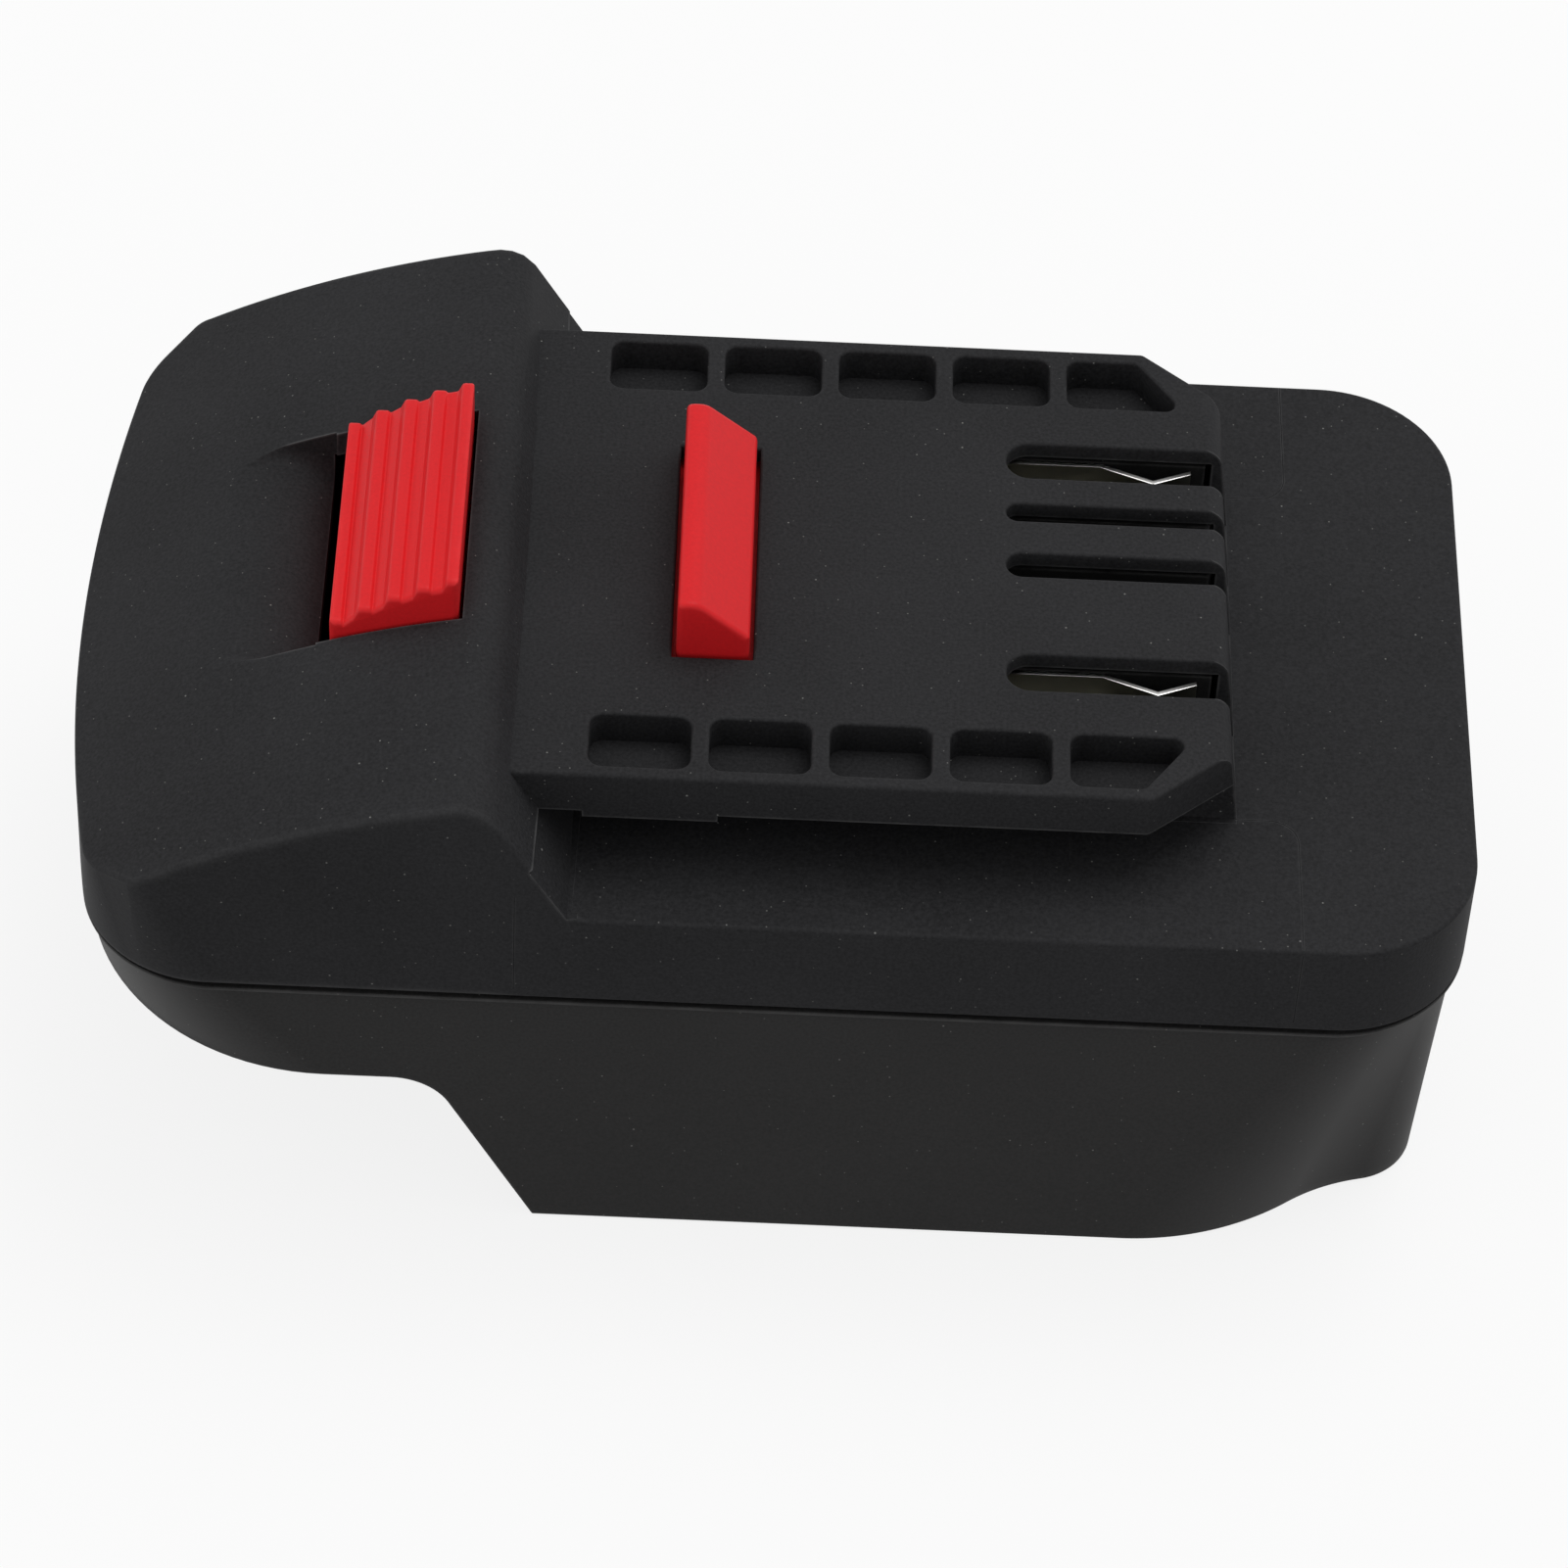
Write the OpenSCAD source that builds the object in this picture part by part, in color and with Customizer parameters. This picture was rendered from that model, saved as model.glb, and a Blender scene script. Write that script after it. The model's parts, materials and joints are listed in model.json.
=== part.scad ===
// Battery adapter for cordless tools: a slide-on rail with a push-button latch on top,
// a slide-in battery socket underneath. Sizes are in millimetres and degrees.
// +X points to the contact end and +Z up. The origin is the middle of the foot, at its rim.

/* [Housings] */
// Length over both ends
body_l = 120; // [116:1:128]
// Width over the sides
body_w = 68.6; // [67:0.2:76]
// Height of the socket roof above the foot rim
roof_z = 18; // [16:0.5:19]
// Height of the seam between the housings
seam_z = 29.9; // [29:0.1:31]
// Height of the deck beside the rail
deck_z = 39.8; // [39:0.1:41]
// Wall thickness of both housings
wall = 2.4; // [2:0.1:2.8]
// Thickness of the socket roof
roof_t = 2.4; // [2:0.1:3]
// Radius of the bowed front end
end_bow_r = 147; // [110:1:300]
// Radius of the front corners at the seam
front_corner_r = 11.5; // [8:0.5:14]
// Radius of the front corners at the socket roof
chin_corner_r = 22; // [16:0.5:26]
// Radius of the rear corners at the seam
rear_corner_r = 11.7; // [8:0.1:14]
// How far the lower wall stands back from the upper wall
seam_step = 0.6; // [0.3:0.1:1]
// Height of the shadow groove under the seam
groove_h = 0.7; // [0.4:0.1:1.2]
// Depth of the shadow groove
groove_d = 0.8; // [0.4:0.1:1]
// Height of the lip that locates the upper housing
lip_h = 0.8; // [0.5:0.1:1]
// Thickness of the locating lip
lip_t = 1.2; // [1:0.1:1.6]

/* [Foot and battery socket] */
// Length of the deep skirt along the foot rim
rim_l = 78.8; // [74:0.2:84]
// Slope of the skirt's front edge
step_angle = 63.4; // [55:0.1:75]
// Fillet where the skirt's front edge meets the chin
step_fillet_r = 5.5; // [3:0.5:8]
// Draft of each side wall from the seam to the rim
side_draft = 0.2; // [0:0.1:1]
// Draft of the rear wall from the seam to the rim
rear_draft = 0.75; // [0:0.05:1.5]
// Radius where each side turns into its rear grip hollow, at the rim
grip_r = 25; // [20:0.5:30]
// Turn of the side into the grip hollow
grip_turn = 36.5; // [30:0.5:40]
// Radius of the grip hollow, at the rim
hollow_r = 18; // [15:0.5:24]
// Turn of the grip hollow
hollow_turn = 23.5; // [16:0.5:26]
// Radius of the rear corners at the rim
foot_corner_r = 6; // [5:0.1:7]
// Gap between the socket's guide rails
guide_gap = 50; // [46:0.5:54]
// Height of the guide rails above the foot rim
guide_z = 6; // [4:0.5:8]
// Thickness of the guide rails
guide_t = 3; // [2:0.5:4]
// Length of the guide rails
guide_l = 52; // [40:1:56]
// Length of the battery catch slot in the socket roof
catch_l = 6; // [5:0.5:8]
// Width of the battery catch slot
catch_w = 18; // [12:1:24]
// Distance from the skirt's front end to the battery catch slot
catch_gap = 17; // [14:0.5:20]

/* [Nose] */
// Radius of the nose's top arc
nose_arc_r = 89; // [85:0.5:100]
// How far behind the rail's front edge the nose's top arc would peak
nose_peak_back = 14.1; // [12:0.1:16]
// How far above the rail's top the nose's top arc would peak
nose_peak_h = 5.4; // [4.5:0.1:6.5]
// Radius of the crown across the nose
nose_crown_r = 760; // [500:10:2000]
// Radius of the ridge at the back of the nose
ridge_r = 3.4; // [3:0.1:4]
// Slope of the nose's rear face
nose_rear_angle = 60; // [55:0.5:65]
// Width of the finger scoop
scoop_w = 25.6; // [22:0.2:28]
// Depth of the finger scoop's floor below the rail's top
scoop_drop = 5.3; // [4:0.1:5.5]
// Radius along both sides of the finger scoop
scoop_r = 5; // [3:0.5:6]

/* [Rail] */
// Height of the rail's top face
rail_z = 49.8; // [49.5:0.1:51]
// Length of the rail from the nose to its end
rail_l = 59.9; // [58:0.1:62]
// Width of the rail plate
rail_w = 54; // [50:0.5:58]
// Distance from the rail's end to the housing's end
rail_end_gap = 21.5; // [18:0.5:24]
// Thickness of the rail plate's edge
rail_t = 4.35; // [4:0.05:5]
// Extra thickness of the rail plate's edge near the nose
heel_t = 0.7; // [0.3:0.1:1]
// Length of the thicker stretch near the nose
heel_l = 18.4; // [15:0.1:24]
// Width of the neck under the rail plate
neck_w = 38.8; // [37.6:0.2:40]
// Wall thickness of the neck
neck_wall = 2; // [1.6:0.1:2.2]
// Thickness of the rail's skin between the pocket rows
skin_t = 1.6; // [1.4:0.1:2]
// Length of the cut at each corner of the rail's end
rail_cut_l = 6.9; // [5:0.1:8]
// Width of the cut at each corner of the rail's end
rail_cut_w = 5.8; // [4:0.1:7]
// Radius along the rail's end edge
rail_end_r = 2; // [1:0.1:3]
// How far the rail's end face leans out down to the deck
rail_end_lean = 1.1; // [0.5:0.1:2]

/* [Pockets] */
// Number of pockets in each row
pocket_n = 5; // [3:1:5]
// Pocket pitch along the rail
pocket_pitch = 10.03; // [9.8:0.01:10.4]
// Pocket length
pocket_l = 8.5; // [7:0.1:9]
// Pocket width
pocket_w = 5.9; // [5:0.1:6]
// Pocket depth
pocket_d = 3.3; // [2:0.1:3.4]
// Pocket corner radius
pocket_r = 1.2; // [0.5:0.1:2]
// Distance from the rail's edge to the pockets
pocket_edge = 1.3; // [1:0.1:2]
// Distance from the rail's end to the middle of the last full pocket pitch
pocket_end_gap = 9.4; // [9:0.1:10]
// Length of the last pocket along its inner side
last_pocket_l = 10.3; // [9.5:0.1:10.6]
// How much shorter the last pocket is along its outer side
last_pocket_slant = 4.1; // [3.6:0.1:5]

/* [Contact slots] */
// Pitch between contact positions
slot_pitch = 6.4; // [6.2:0.1:6.6]
// Width of the two outer slots, which hold a clip contact
power_slot_w = 4.2; // [3.6:0.1:4.4]
// Width of the middle slot
middle_slot_w = 2.8; // [2:0.1:3]
// Width of the slot between the middle slot and an outer one
side_slot_w = 2.1; // [1.8:0.1:2.6]
// Length of the slots from the rail's end
slot_l = 19; // [17:0.5:21]

/* [Latch] */
// Length of the button
button_l = 10.9; // [10:0.1:12]
// Width of the button
button_w = 24.6; // [22:0.2:26]
// Distance from the rail's front edge to the button
button_gap = 5.3; // [5:0.1:6]
// Height of the button's first step above the rail's top
button_front_h = 1.7; // [1:0.1:3]
// Height of the button's last step above the rail's top
button_rear_h = 7; // [5:0.1:8]
// Bulge of the line of steps
button_bulge = 0.45; // [0:0.05:1]
// Number of steps on the button
step_n = 5; // [4:1:6]
// Dip of each step's tread
step_dip = 0.15; // [0:0.05:0.4]
// Clearance in front of the button
button_front_fit = 1.3; // [0.5:0.1:2]
// Clearance round the other sides of the button and the tongue
latch_fit = 0.35; // [0.3:0.05:0.6]
// Distance from the rail's front edge to the tongue
tongue_setback = 13; // [12:0.1:14]
// Length of the tongue
tongue_l = 6.2; // [5:0.1:7]
// Width of the tongue
tongue_w = 24.8; // [20:0.2:26]
// Height of the tongue above the rail's top
tongue_h = 5.65; // [4:0.05:5.7]
// Height of the tongue's ramp foot above the rail's top
tongue_toe_h = 1.95; // [1:0.05:3]
// Length of the flat on the tongue's top
tongue_land = 1.5; // [1:0.1:2.5]
// Thickness of the bridge between button and tongue
bridge_t = 3; // [2.5:0.1:3.4]
// Width of the bridge
bridge_w = 20; // [18:0.5:22]
// Depth of the bridge's top below the rail's skin
bridge_drop = 2; // [1.8:0.1:2.4]
// Thickness of the shoulder round the tongue, which stops the latch
shoulder_w = 1.8; // [1.2:0.1:2.2]

/* [Latch springs] */
// Installed length of a latch spring
spring_l = 12; // [11.5:0.1:12.5]
// Mean radius of a latch spring
spring_r = 2.6; // [2.2:0.1:3]
// Wire diameter of a latch spring
spring_wire_d = 0.7; // [0.5:0.05:0.8]
// Turns of a latch spring
spring_turns = 6; // [5:1:6]
// Distance between the two latch springs
spring_gap = 14; // [12:0.5:16]
// Thickness of the spring carrier
carrier_t = 2.5; // [2:0.1:3]
// Length of the spring carrier
carrier_l = 16; // [14:0.5:18]

/* [Contacts] */
// Sheet thickness of the clip contacts
clip_t = 0.5; // [0.4:0.05:0.6]
// Gap between a clip's leaves at their root
clip_root_gap = 3.9; // [3.4:0.1:4.1]
// Gap between a clip's leaves at their tips
clip_tip_gap = 3; // [2:0.1:3.4]
// Gap between a clip's leaves at the throat
clip_throat_gap = 0.2; // [0.1:0.05:0.5]
// Length of a clip's leaves
clip_l = 16.6; // [15:0.1:17]
// Height of a clip's leaves
clip_h = 6.6; // [5.5:0.1:7]
// Thickness of the battery blades
blade_t = 0.8; // [0.6:0.1:1]
// Height of the battery blades
blade_h = 7; // [6:0.5:8]
// Reach of the battery blades out of their block
blade_l = 12; // [10:0.5:14]
// Distance between the two battery blades
blade_gap = 22; // [20:0.5:23]
// Outside diameter of the inner wires
wire_d = 2.4; // [2:0.1:2.6]
// Length of the shrink sleeves
sleeve_l = 6; // [5:0.5:7]

/* [Screws] */
// Thread diameter of all screws
screw_d = 2.9; // [2.5:0.1:3.1]
// Head diameter of all screws
head_d = 5.5; // [5:0.1:6]
// Head height of all screws
head_h = 2; // [1.6:0.1:2.2]
// Length of the housing screws under the head
housing_screw_l = 15.5; // [14:0.5:16]
// Length of the short screws under the head
short_screw_l = 8; // [7.5:0.5:8.5]

/* [Hidden] */
$fn = 48;
crown_fn = 1080;
arc_n = 12;
foot_n = [8, 5, 8];
foot_total = foot_n[0] + foot_n[1] + foot_n[2];
spring_ring_n = 12;
spring_side_n = 6;
wire_ring_n = 24;
wire_side_n = 8;

// How far a cutter runs past a face, and the clearance between parts that touch
over = 1;
slip = 0.1;

// Small sizes of the latch and its springs
press_spare = 0.25;
button_lip = 0.6;
tread_start = 0.1;
tread_end = 0.75;
tongue_edge = 0.2;
stud_fit = 0.25;
stud_spare = 0.4;
carrier_boss_out = 2;
carrier_boss_r = 3;

// Small sizes of the contact block and its clips
clip_drop = 0.8;
clip_end_fit = 0.3;
clip_bend_share = 0.52;
clip_throat_share = 0.8;
block_end_fit = 0.5;
block_side_fit = 0.3;
block_back_t = 1.8;
block_floor_t = 2.6;
block_slot_fit = 0.4;
tail_l = 7.5;
tail_w = 3;
ear_t = 2.5;
ear_w = 14;
ear_edge = 0.8;
ear_screw_y = 4;

// Small sizes of the terminal block, the blades and the wires
term_end_gap = 8;
term_l = 12;
term_side = 3;
term_skin = 1.5;
flange_w = 2;
flange_t = 2;
rib_t = 1.6;
blade_seat_l = 7.5;
blade_riser_l = 5;
blade_tab_h = 4.5;
blade_cut = 1;
wire_lead = 13;
wire_stub = 0.5;
sleeve_t = 0.4;

// Small sizes of the screws and their bosses
boss_r = 4;
boss_lift = 1;
head_cover = 1;
recess_w = 0.8;
recess_share = 0.6;
front_boss_in = [14, 14.3];
rear_boss_in = [10, 12.3];

// Housings
half_l = body_l / 2;
half_w = body_w / 2;
rail_x1 = half_l - rail_end_gap;
rail_x0 = rail_x1 - rail_l;
neck_x1 = rail_x1 + rail_end_lean;
skin_z = rail_z - skin_t;
deck_in_z = deck_z - wall;
roof_top_z = roof_z + roof_t;
rim_x0 = half_l - rim_l;
rim_x1 = half_l - seam_step - rear_draft;
rim_w = half_w - seam_step - side_draft;

// Latch and springs
button_x1 = rail_x0 - button_gap;
button_x0 = button_x1 - button_l;
tongue_x0 = rail_x0 + tongue_setback;
tongue_x1 = tongue_x0 + tongue_l;
latch_travel = tongue_h + press_spare;
bridge_z1 = skin_z - bridge_drop;
bridge_z0 = bridge_z1 - bridge_t;
carrier_z = bridge_z0 - spring_l;
spring_x = (button_x1 + tongue_x0) / 2;
stud_r = spring_r - spring_wire_d / 2 - stud_fit;
stud_h = (spring_l - latch_travel) / 2 - stud_spare;

// Contact block and clips
clip_y = 2 * slot_pitch;
clip_w = clip_root_gap + 2 * clip_t;
clip_x0 = rail_x1 - slot_l - clip_end_fit;
clip_z1 = skin_z - clip_drop;
block_x1 = neck_x1 - neck_wall - block_end_fit;
block_back_x = clip_x0 - block_back_t;
block_w = neck_w - 2 * neck_wall - 2 * block_side_fit;
block_floor_z = clip_z1 - clip_h;
block_z0 = block_floor_z - block_floor_t;
wire_r = wire_d / 2;
wire_clip_x = clip_x0 - tail_l + wire_r + clip_end_fit;
ear_x0 = wire_clip_x - wire_d;
ear_z1 = block_floor_z + clip_t + ear_t;

// Terminal block and blades
term_x1 = half_l - term_end_gap;
term_x0 = term_x1 - term_l;
term_w = blade_gap + 2 * term_side;
term_z0 = roof_z - blade_h - 2 * term_skin;
flange_z1 = roof_top_z + flange_t;
blade_z0 = term_z0 + term_skin;
blade_x1 = term_x0 + blade_seat_l;
blade_top_z = flange_z1 + blade_tab_h;
wire_blade_x = blade_x1 - blade_riser_l / 2;

// Screws and their places
screw_r = screw_d / 2;
head_r = head_d / 2;
seat_z = roof_z + head_h + head_cover;
post_z = seam_z + boss_lift;
front_boss = [front_boss_in[0] - half_l, half_w - front_boss_in[1]];
rear_boss = [half_l - rear_boss_in[0], half_w - rear_boss_in[1]];
carrier_boss = [spring_x, neck_w / 2 + carrier_boss_out];
ear_boss = [ear_x0 + head_r + ear_edge, ear_screw_y];

black = "#2c2c2e";
inner_black = "#38383a";
red = "#e12628";
nickel = "#c9c4b4";
steel = "#a9abae";
wire_red = "#b81e20";
wire_black = "#1c1c1c";
sleeve_black = "#141414";

// Points on an arc, both ends included
function arc(c, r, a0, a1, n) =
    [for (i = [0 : n]) c + r * [cos(a0 + (a1 - a0) * i / n), sin(a0 + (a1 - a0) * i / n)]];

function polar(r, a) = r * [cos(a), sin(a)];

function mirrored(points) = [for (i = [len(points) - 1 : -1 : 0]) [points[i][0], -points[i][1]]];

function blend(a, b, t) = [for (i = [0 : len(a) - 1]) a[i] + (b[i] - a[i]) * t];

// Front end of the plan outline: one corner, the bow and the other corner
function front_end(w, r, inset) =
    let (bow = [end_bow_r - half_l, 0])
    let (cy = w - r)
    let (cx = bow[0] - sqrt(pow(end_bow_r - r, 2) - cy * cy))
    let (turn = atan2(cy, cx - bow[0]))
    let (corner = arc([cx, cy], r - inset, 90, turn, arc_n))
    let (middle = arc(bow, end_bow_r - inset, turn, 360 - turn, arc_n))
    concat(corner, [for (i = [1 : arc_n - 1]) middle[i]], mirrored(corner));

// One rear corner of the plan outline at the seam, as a plain arc
function rear_corner(inset) =
    arc([half_l - rear_corner_r, half_w - rear_corner_r], rear_corner_r - inset, 0, 90, foot_total);

// The same corner at the foot rim: a small corner, the grip hollow and the wide turn into the side
function foot_corner(inset) =
    let (lean = grip_turn - hollow_turn)
    let (c1 = [0, rim_w - grip_r])
    let (c2 = c1 + polar(grip_r + hollow_r, 90 - grip_turn))
    let (c3 = c2 - polar(hollow_r + foot_corner_r, 90 - lean))
    let (shift = [rim_x1 - c3[0] - foot_corner_r, 0])
    let (small = arc(c3 + shift, foot_corner_r - inset, 0, 90 - lean, foot_n[0]))
    let (hollow = arc(c2 + shift, hollow_r + inset, 270 - lean, 270 - grip_turn, foot_n[1]))
    let (wide = arc(c1 + shift, grip_r - inset, 90 - grip_turn, 90, foot_n[2]))
    concat(small, [for (i = [1 : foot_n[1]]) hollow[i]], [for (i = [1 : foot_n[2]]) wide[i]]);

// Plan outline of the upper housing, anticlockwise
function plan(inset) =
    let (corner = rear_corner(inset))
    concat(corner, front_end(half_w, front_corner_r, inset), mirrored(corner));

// Plan outline of the lower housing at a height, anticlockwise
function skirt(z, inset) =
    let (up = z / seam_z)
    let (rear = blend(foot_corner(inset), rear_corner(seam_step + inset), up))
    let (w = rim_w + side_draft * up)
    let (chin = front_end(w + seam_step, chin_corner_r + seam_step, seam_step + inset))
    let (brow = front_end(half_w, front_corner_r, seam_step + inset))
    let (front = blend(chin, brow, max(0, (z - roof_z) / (seam_z - roof_z))))
    concat(rear, front, mirrored(rear));

// Rail outline, set in from its edges by an even margin, with its end moved out
function rail_outline(inset, past = 0) =
    let (cut = norm([rail_cut_l, rail_cut_w]))
    let (along = [rail_cut_l, rail_cut_w] / cut)
    let (w = rail_w / 2)
    let (a = [rail_x1 - rail_cut_l - inset * along[1], -w + inset * along[0]])
    let (p = a + along * (-w + inset - a[1]) / along[1])
    let (q = a + along * (rail_x1 + past - inset - a[0]) / along[0])
    [[rail_x0 - over, -w + inset], p, q, [q[0], -q[1]], [p[0], -p[1]], [rail_x0 - over, w - inset]];

// Nose section along the middle, set in from its surface
function nose_section(inset) =
    let (n = [sin(nose_rear_angle), cos(nose_rear_angle)])
    let (t = [n[1], -n[0]])
    let (top = [rail_x0 + nose_peak_back, rail_z + nose_peak_h - nose_arc_r])
    let (d = n * [rail_x0, rail_z])
    let (reach = sqrt(pow(nose_arc_r - ridge_r, 2) - pow(d - ridge_r - n * top, 2)))
    let (ridge = n * (d - ridge_r) + t * (t * top - reach))
    let (turn = atan2(ridge[1] - top[1], ridge[0] - top[0]))
    let (first = acos((-half_l - over - top[0]) / (nose_arc_r - inset)))
    let (low = seam_z - over)
    let (foot = [(d - inset - n[1] * low) / n[0], low])
    concat(
        [[-half_l - over, low]],
        arc(top, nose_arc_r - inset, first, turn, 2 * arc_n),
        [for (i = [1 : arc_n]) arc(ridge, ridge_r - inset, turn, 90 - nose_rear_angle, arc_n)[i]],
        [foot]
    );

// Cubic curve through two end points with the given handles
function bezier(p, t) =
    pow(1 - t, 3) * p[0] + 3 * t * pow(1 - t, 2) * p[1] + 3 * t * t * (1 - t) * p[2] + pow(t, 3) * p[3];

function unit(v) = v / norm(v);

// Skin of a solid from stacked rings that all have n points
function loft_faces(levels, n) =
    concat(
        [[for (i = [0 : n - 1]) i]],
        [[for (i = [n - 1 : -1 : 0]) i + n * (levels - 1)]],
        [for (k = [0 : levels - 2], i = [0 : n - 1])
            [k * n + i, (k + 1) * n + i, (k + 1) * n + (i + 1) % n]],
        [for (k = [0 : levels - 2], i = [0 : n - 1])
            [k * n + i, (k + 1) * n + (i + 1) % n, k * n + (i + 1) % n]]
    );

// Skirt between two or more heights
module skirt_solid(heights, inset) {
    rings = [for (z = heights) [for (p = skirt(z, inset)) [p[0], p[1], z]]];
    polyhedron([for (ring = rings) each ring], loft_faces(len(heights), len(rings[0])));
}

// Round tube along a list of points, with its sides turned from a fixed direction
module tube(path, r, sides, up) {
    n = len(path);
    rings = [for (k = [0 : n - 1])
        let (along = unit(path[min(k + 1, n - 1)] - path[max(k - 1, 0)]))
        let (u = unit(cross(up, along)))
        let (v = cross(along, u))
        [for (i = [0 : sides - 1]) path[k] + r * (u * cos(360 * i / sides) + v * sin(360 * i / sides))]];
    polyhedron([for (ring = rings) each ring], loft_faces(n, sides));
}

// Plate of a plan outline between two heights
module slab(points, z) {
    translate([0, 0, z[0]])
        linear_extrude(z[1] - z[0])
            polygon(points);
}

// Box between two limits on each axis
module box(x, y, z) {
    translate([x[0], y[0], z[0]])
        cube([x[1] - x[0], y[1] - y[0], z[1] - z[0]]);
}

// Solid of a side outline, given as X and Z, across a width
module across(points, width) {
    rotate([90, 0, 0])
        linear_extrude(width, center = true)
            polygon(points);
}

// Bar between two limits along X and Z, across a width
module bar(x, z, width) {
    across([[x[0], z[0]], [x[1], z[0]], [x[1], z[1]], [x[0], z[1]]], width);
}

module post(at, r, z) {
    translate([at[0], at[1], z[0]])
        cylinder(r = r, h = z[1] - z[0]);
}

module both_sides() {
    children();
    mirror([0, 1, 0])
        children();
}

// Rectangle with round corners, from its middle
module round_rect(size, r) {
    square([size[0] - 2 * r, size[1]], center = true);
    square([size[0], size[1] - 2 * r], center = true);
    for (sx = [-1, 1], sy = [-1, 1])
        translate([sx * (size[0] / 2 - r), sy * (size[1] / 2 - r)])
            circle(r);
}

// Nose as a crowned solid, set in from its skin
module nose_form(inset) {
    crown_z = rail_z + nose_peak_h - nose_crown_r;
    sweep = 4 * asin(half_w / nose_crown_r);
    intersection() {
        slab(plan(inset), [seam_z - (inset > 0 ? over : 0), rail_z + 2 * nose_peak_h]);
        translate([0, 0, crown_z])
            rotate(180, [1, 0, 1])
                rotate(-sweep / 2)
                    rotate_extrude(angle = sweep, $fn = crown_fn)
                        polygon([for (p = nose_section(inset)) [p[1] - crown_z, p[0]]]);
    }
}

// Rail plate on its neck, with one leaning end face that is rounded at the top
module rail_form() {
    w = rail_w / 2;
    low = rail_z - rail_t;
    intersection() {
        union() {
            slab(rail_outline(0, rail_end_lean), [low, rail_z]);
            box([rail_x0 - over, rail_x0 + heel_l], [-w, w], [low - heel_t, rail_z]);
            box([rail_x0 - over, neck_x1 + over], [-neck_w / 2, neck_w / 2], [deck_z - over, low + over]);
        }
        across(rail_end_section(), rail_w + 2 * over);
    }
}

// Side outline that rounds and leans the rail's end
function rail_end_section() =
    concat(
        [[rail_x0 - 2 * over, deck_z - over], [neck_x1, deck_z - over], [neck_x1, deck_z]],
        arc([rail_x1 - rail_end_r, rail_z - rail_end_r], rail_end_r, 0, 90, arc_n / 2),
        [[rail_x0 - 2 * over, rail_z]]
    );

module upper_form() {
    slab(plan(0), [seam_z, deck_z]);
    nose_form(0);
    rail_form();
}

// Finger scoop in front of the button, as a round-bottomed trough grown by a margin
module scoop(grow) {
    depth = 3 * scoop_drop;
    low = rail_z - scoop_drop - grow;
    reach = half_l + button_x0 - button_front_fit + (grow > 0 ? 0 : slip);
    translate([-half_l, 0, low + depth / 2])
        rotate([90, 0, 90])
            linear_extrude(reach)
                round_rect([scoop_w + 2 * grow, depth], scoop_r + grow);
}

// Last pocket of a row, longer than the others and slanted along the rail's cut corner
module last_pocket(x0, y0) {
    x1 = x0 + last_pocket_l;
    y1 = y0 + pocket_w;
    intersection() {
        translate([x1, (y0 + y1) / 2])
            round_rect([2 * last_pocket_l, pocket_w], pocket_r);
        polygon([[x0, y0], [x1, y0], [x1 - last_pocket_slant, y1], [x0, y1]]);
    }
}

module pockets() {
    last = rail_x1 - pocket_end_gap;
    y0 = rail_w / 2 - pocket_edge - pocket_w;
    both_sides()
        translate([0, 0, rail_z - pocket_d])
            linear_extrude(pocket_d + over)
                intersection() {
                    union() {
                        for (k = [1 : pocket_n - 1])
                            translate([last - k * pocket_pitch, y0 + pocket_w / 2])
                                round_rect([pocket_l, pocket_w], pocket_r);
                        last_pocket(last - pocket_l / 2, y0);
                    }
                    polygon(rail_outline(pocket_edge));
                }
}

module contact_slot(position, w) {
    x0 = rail_x1 - slot_l;
    y = position * slot_pitch;
    z = [block_floor_z, rail_z + over];
    box([x0 + w / 2, neck_x1 + over], [y - w / 2, y + w / 2], z);
    post([x0 + w / 2, y], w / 2, z);
}

module contact_slots() {
    for (position = [-2, 2])
        contact_slot(position, power_slot_w);
    contact_slot(1, side_slot_w);
    contact_slot(0, middle_slot_w);
}

module latch_slots() {
    z = [deck_z, rail_z + 2 * nose_peak_h];
    by = button_w / 2 + latch_fit;
    ty = tongue_w / 2 + latch_fit;
    box([button_x0 - button_front_fit, button_x1 + latch_fit], [-by, by], z);
    box([tongue_x0 - latch_fit, tongue_x1 + latch_fit], [-ty, ty], z);
}

module upper_cavity() {
    y = neck_w / 2 - neck_wall;
    slab(plan(wall), [seam_z - over, deck_in_z]);
    nose_form(wall);
    box([rail_x0 - 2 * wall, neck_x1 - neck_wall], [-y, y], [deck_in_z - over, skin_z]);
}

// Bosses inside the upper housing for the screws from below
module upper_bosses() {
    top = rail_z + nose_peak_h;
    both_sides() {
        post(front_boss, boss_r, [post_z, top]);
        post(rear_boss, boss_r, [post_z, top]);
        post(carrier_boss, carrier_boss_r, [carrier_z, top]);
    }
}

module upper_pilots() {
    r = screw_r + slip / 2;
    housing_top = seat_z + housing_screw_l + slip;
    short_tip = short_screw_l + slip;
    both_sides() {
        post(front_boss, r, [post_z - over, housing_top]);
        post(rear_boss, r, [post_z - over, housing_top]);
        post(carrier_boss, r, [carrier_z - over, carrier_z - carrier_t + short_tip]);
        post(ear_boss, r, [ear_z1 - over, ear_z1 - ear_t + short_tip]);
    }
}

module upper_housing() {
    color(black)
        difference() {
            union() {
                difference() {
                    upper_form();
                    upper_cavity();
                }
                intersection() {
                    upper_form();
                    union() {
                        scoop(wall);
                        upper_bosses();
                    }
                }
                both_sides()
                    post(ear_boss, head_r, [ear_z1, skin_z + skin_t / 2]);
                box(
                    [term_x1 - rib_t, term_x1],
                    [-term_w / 2, term_w / 2],
                    [flange_z1 + slip, deck_z - wall / 2]
                );
            }
            scoop(0);
            pockets();
            contact_slots();
            latch_slots();
            upper_pilots();
        }
}

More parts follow.
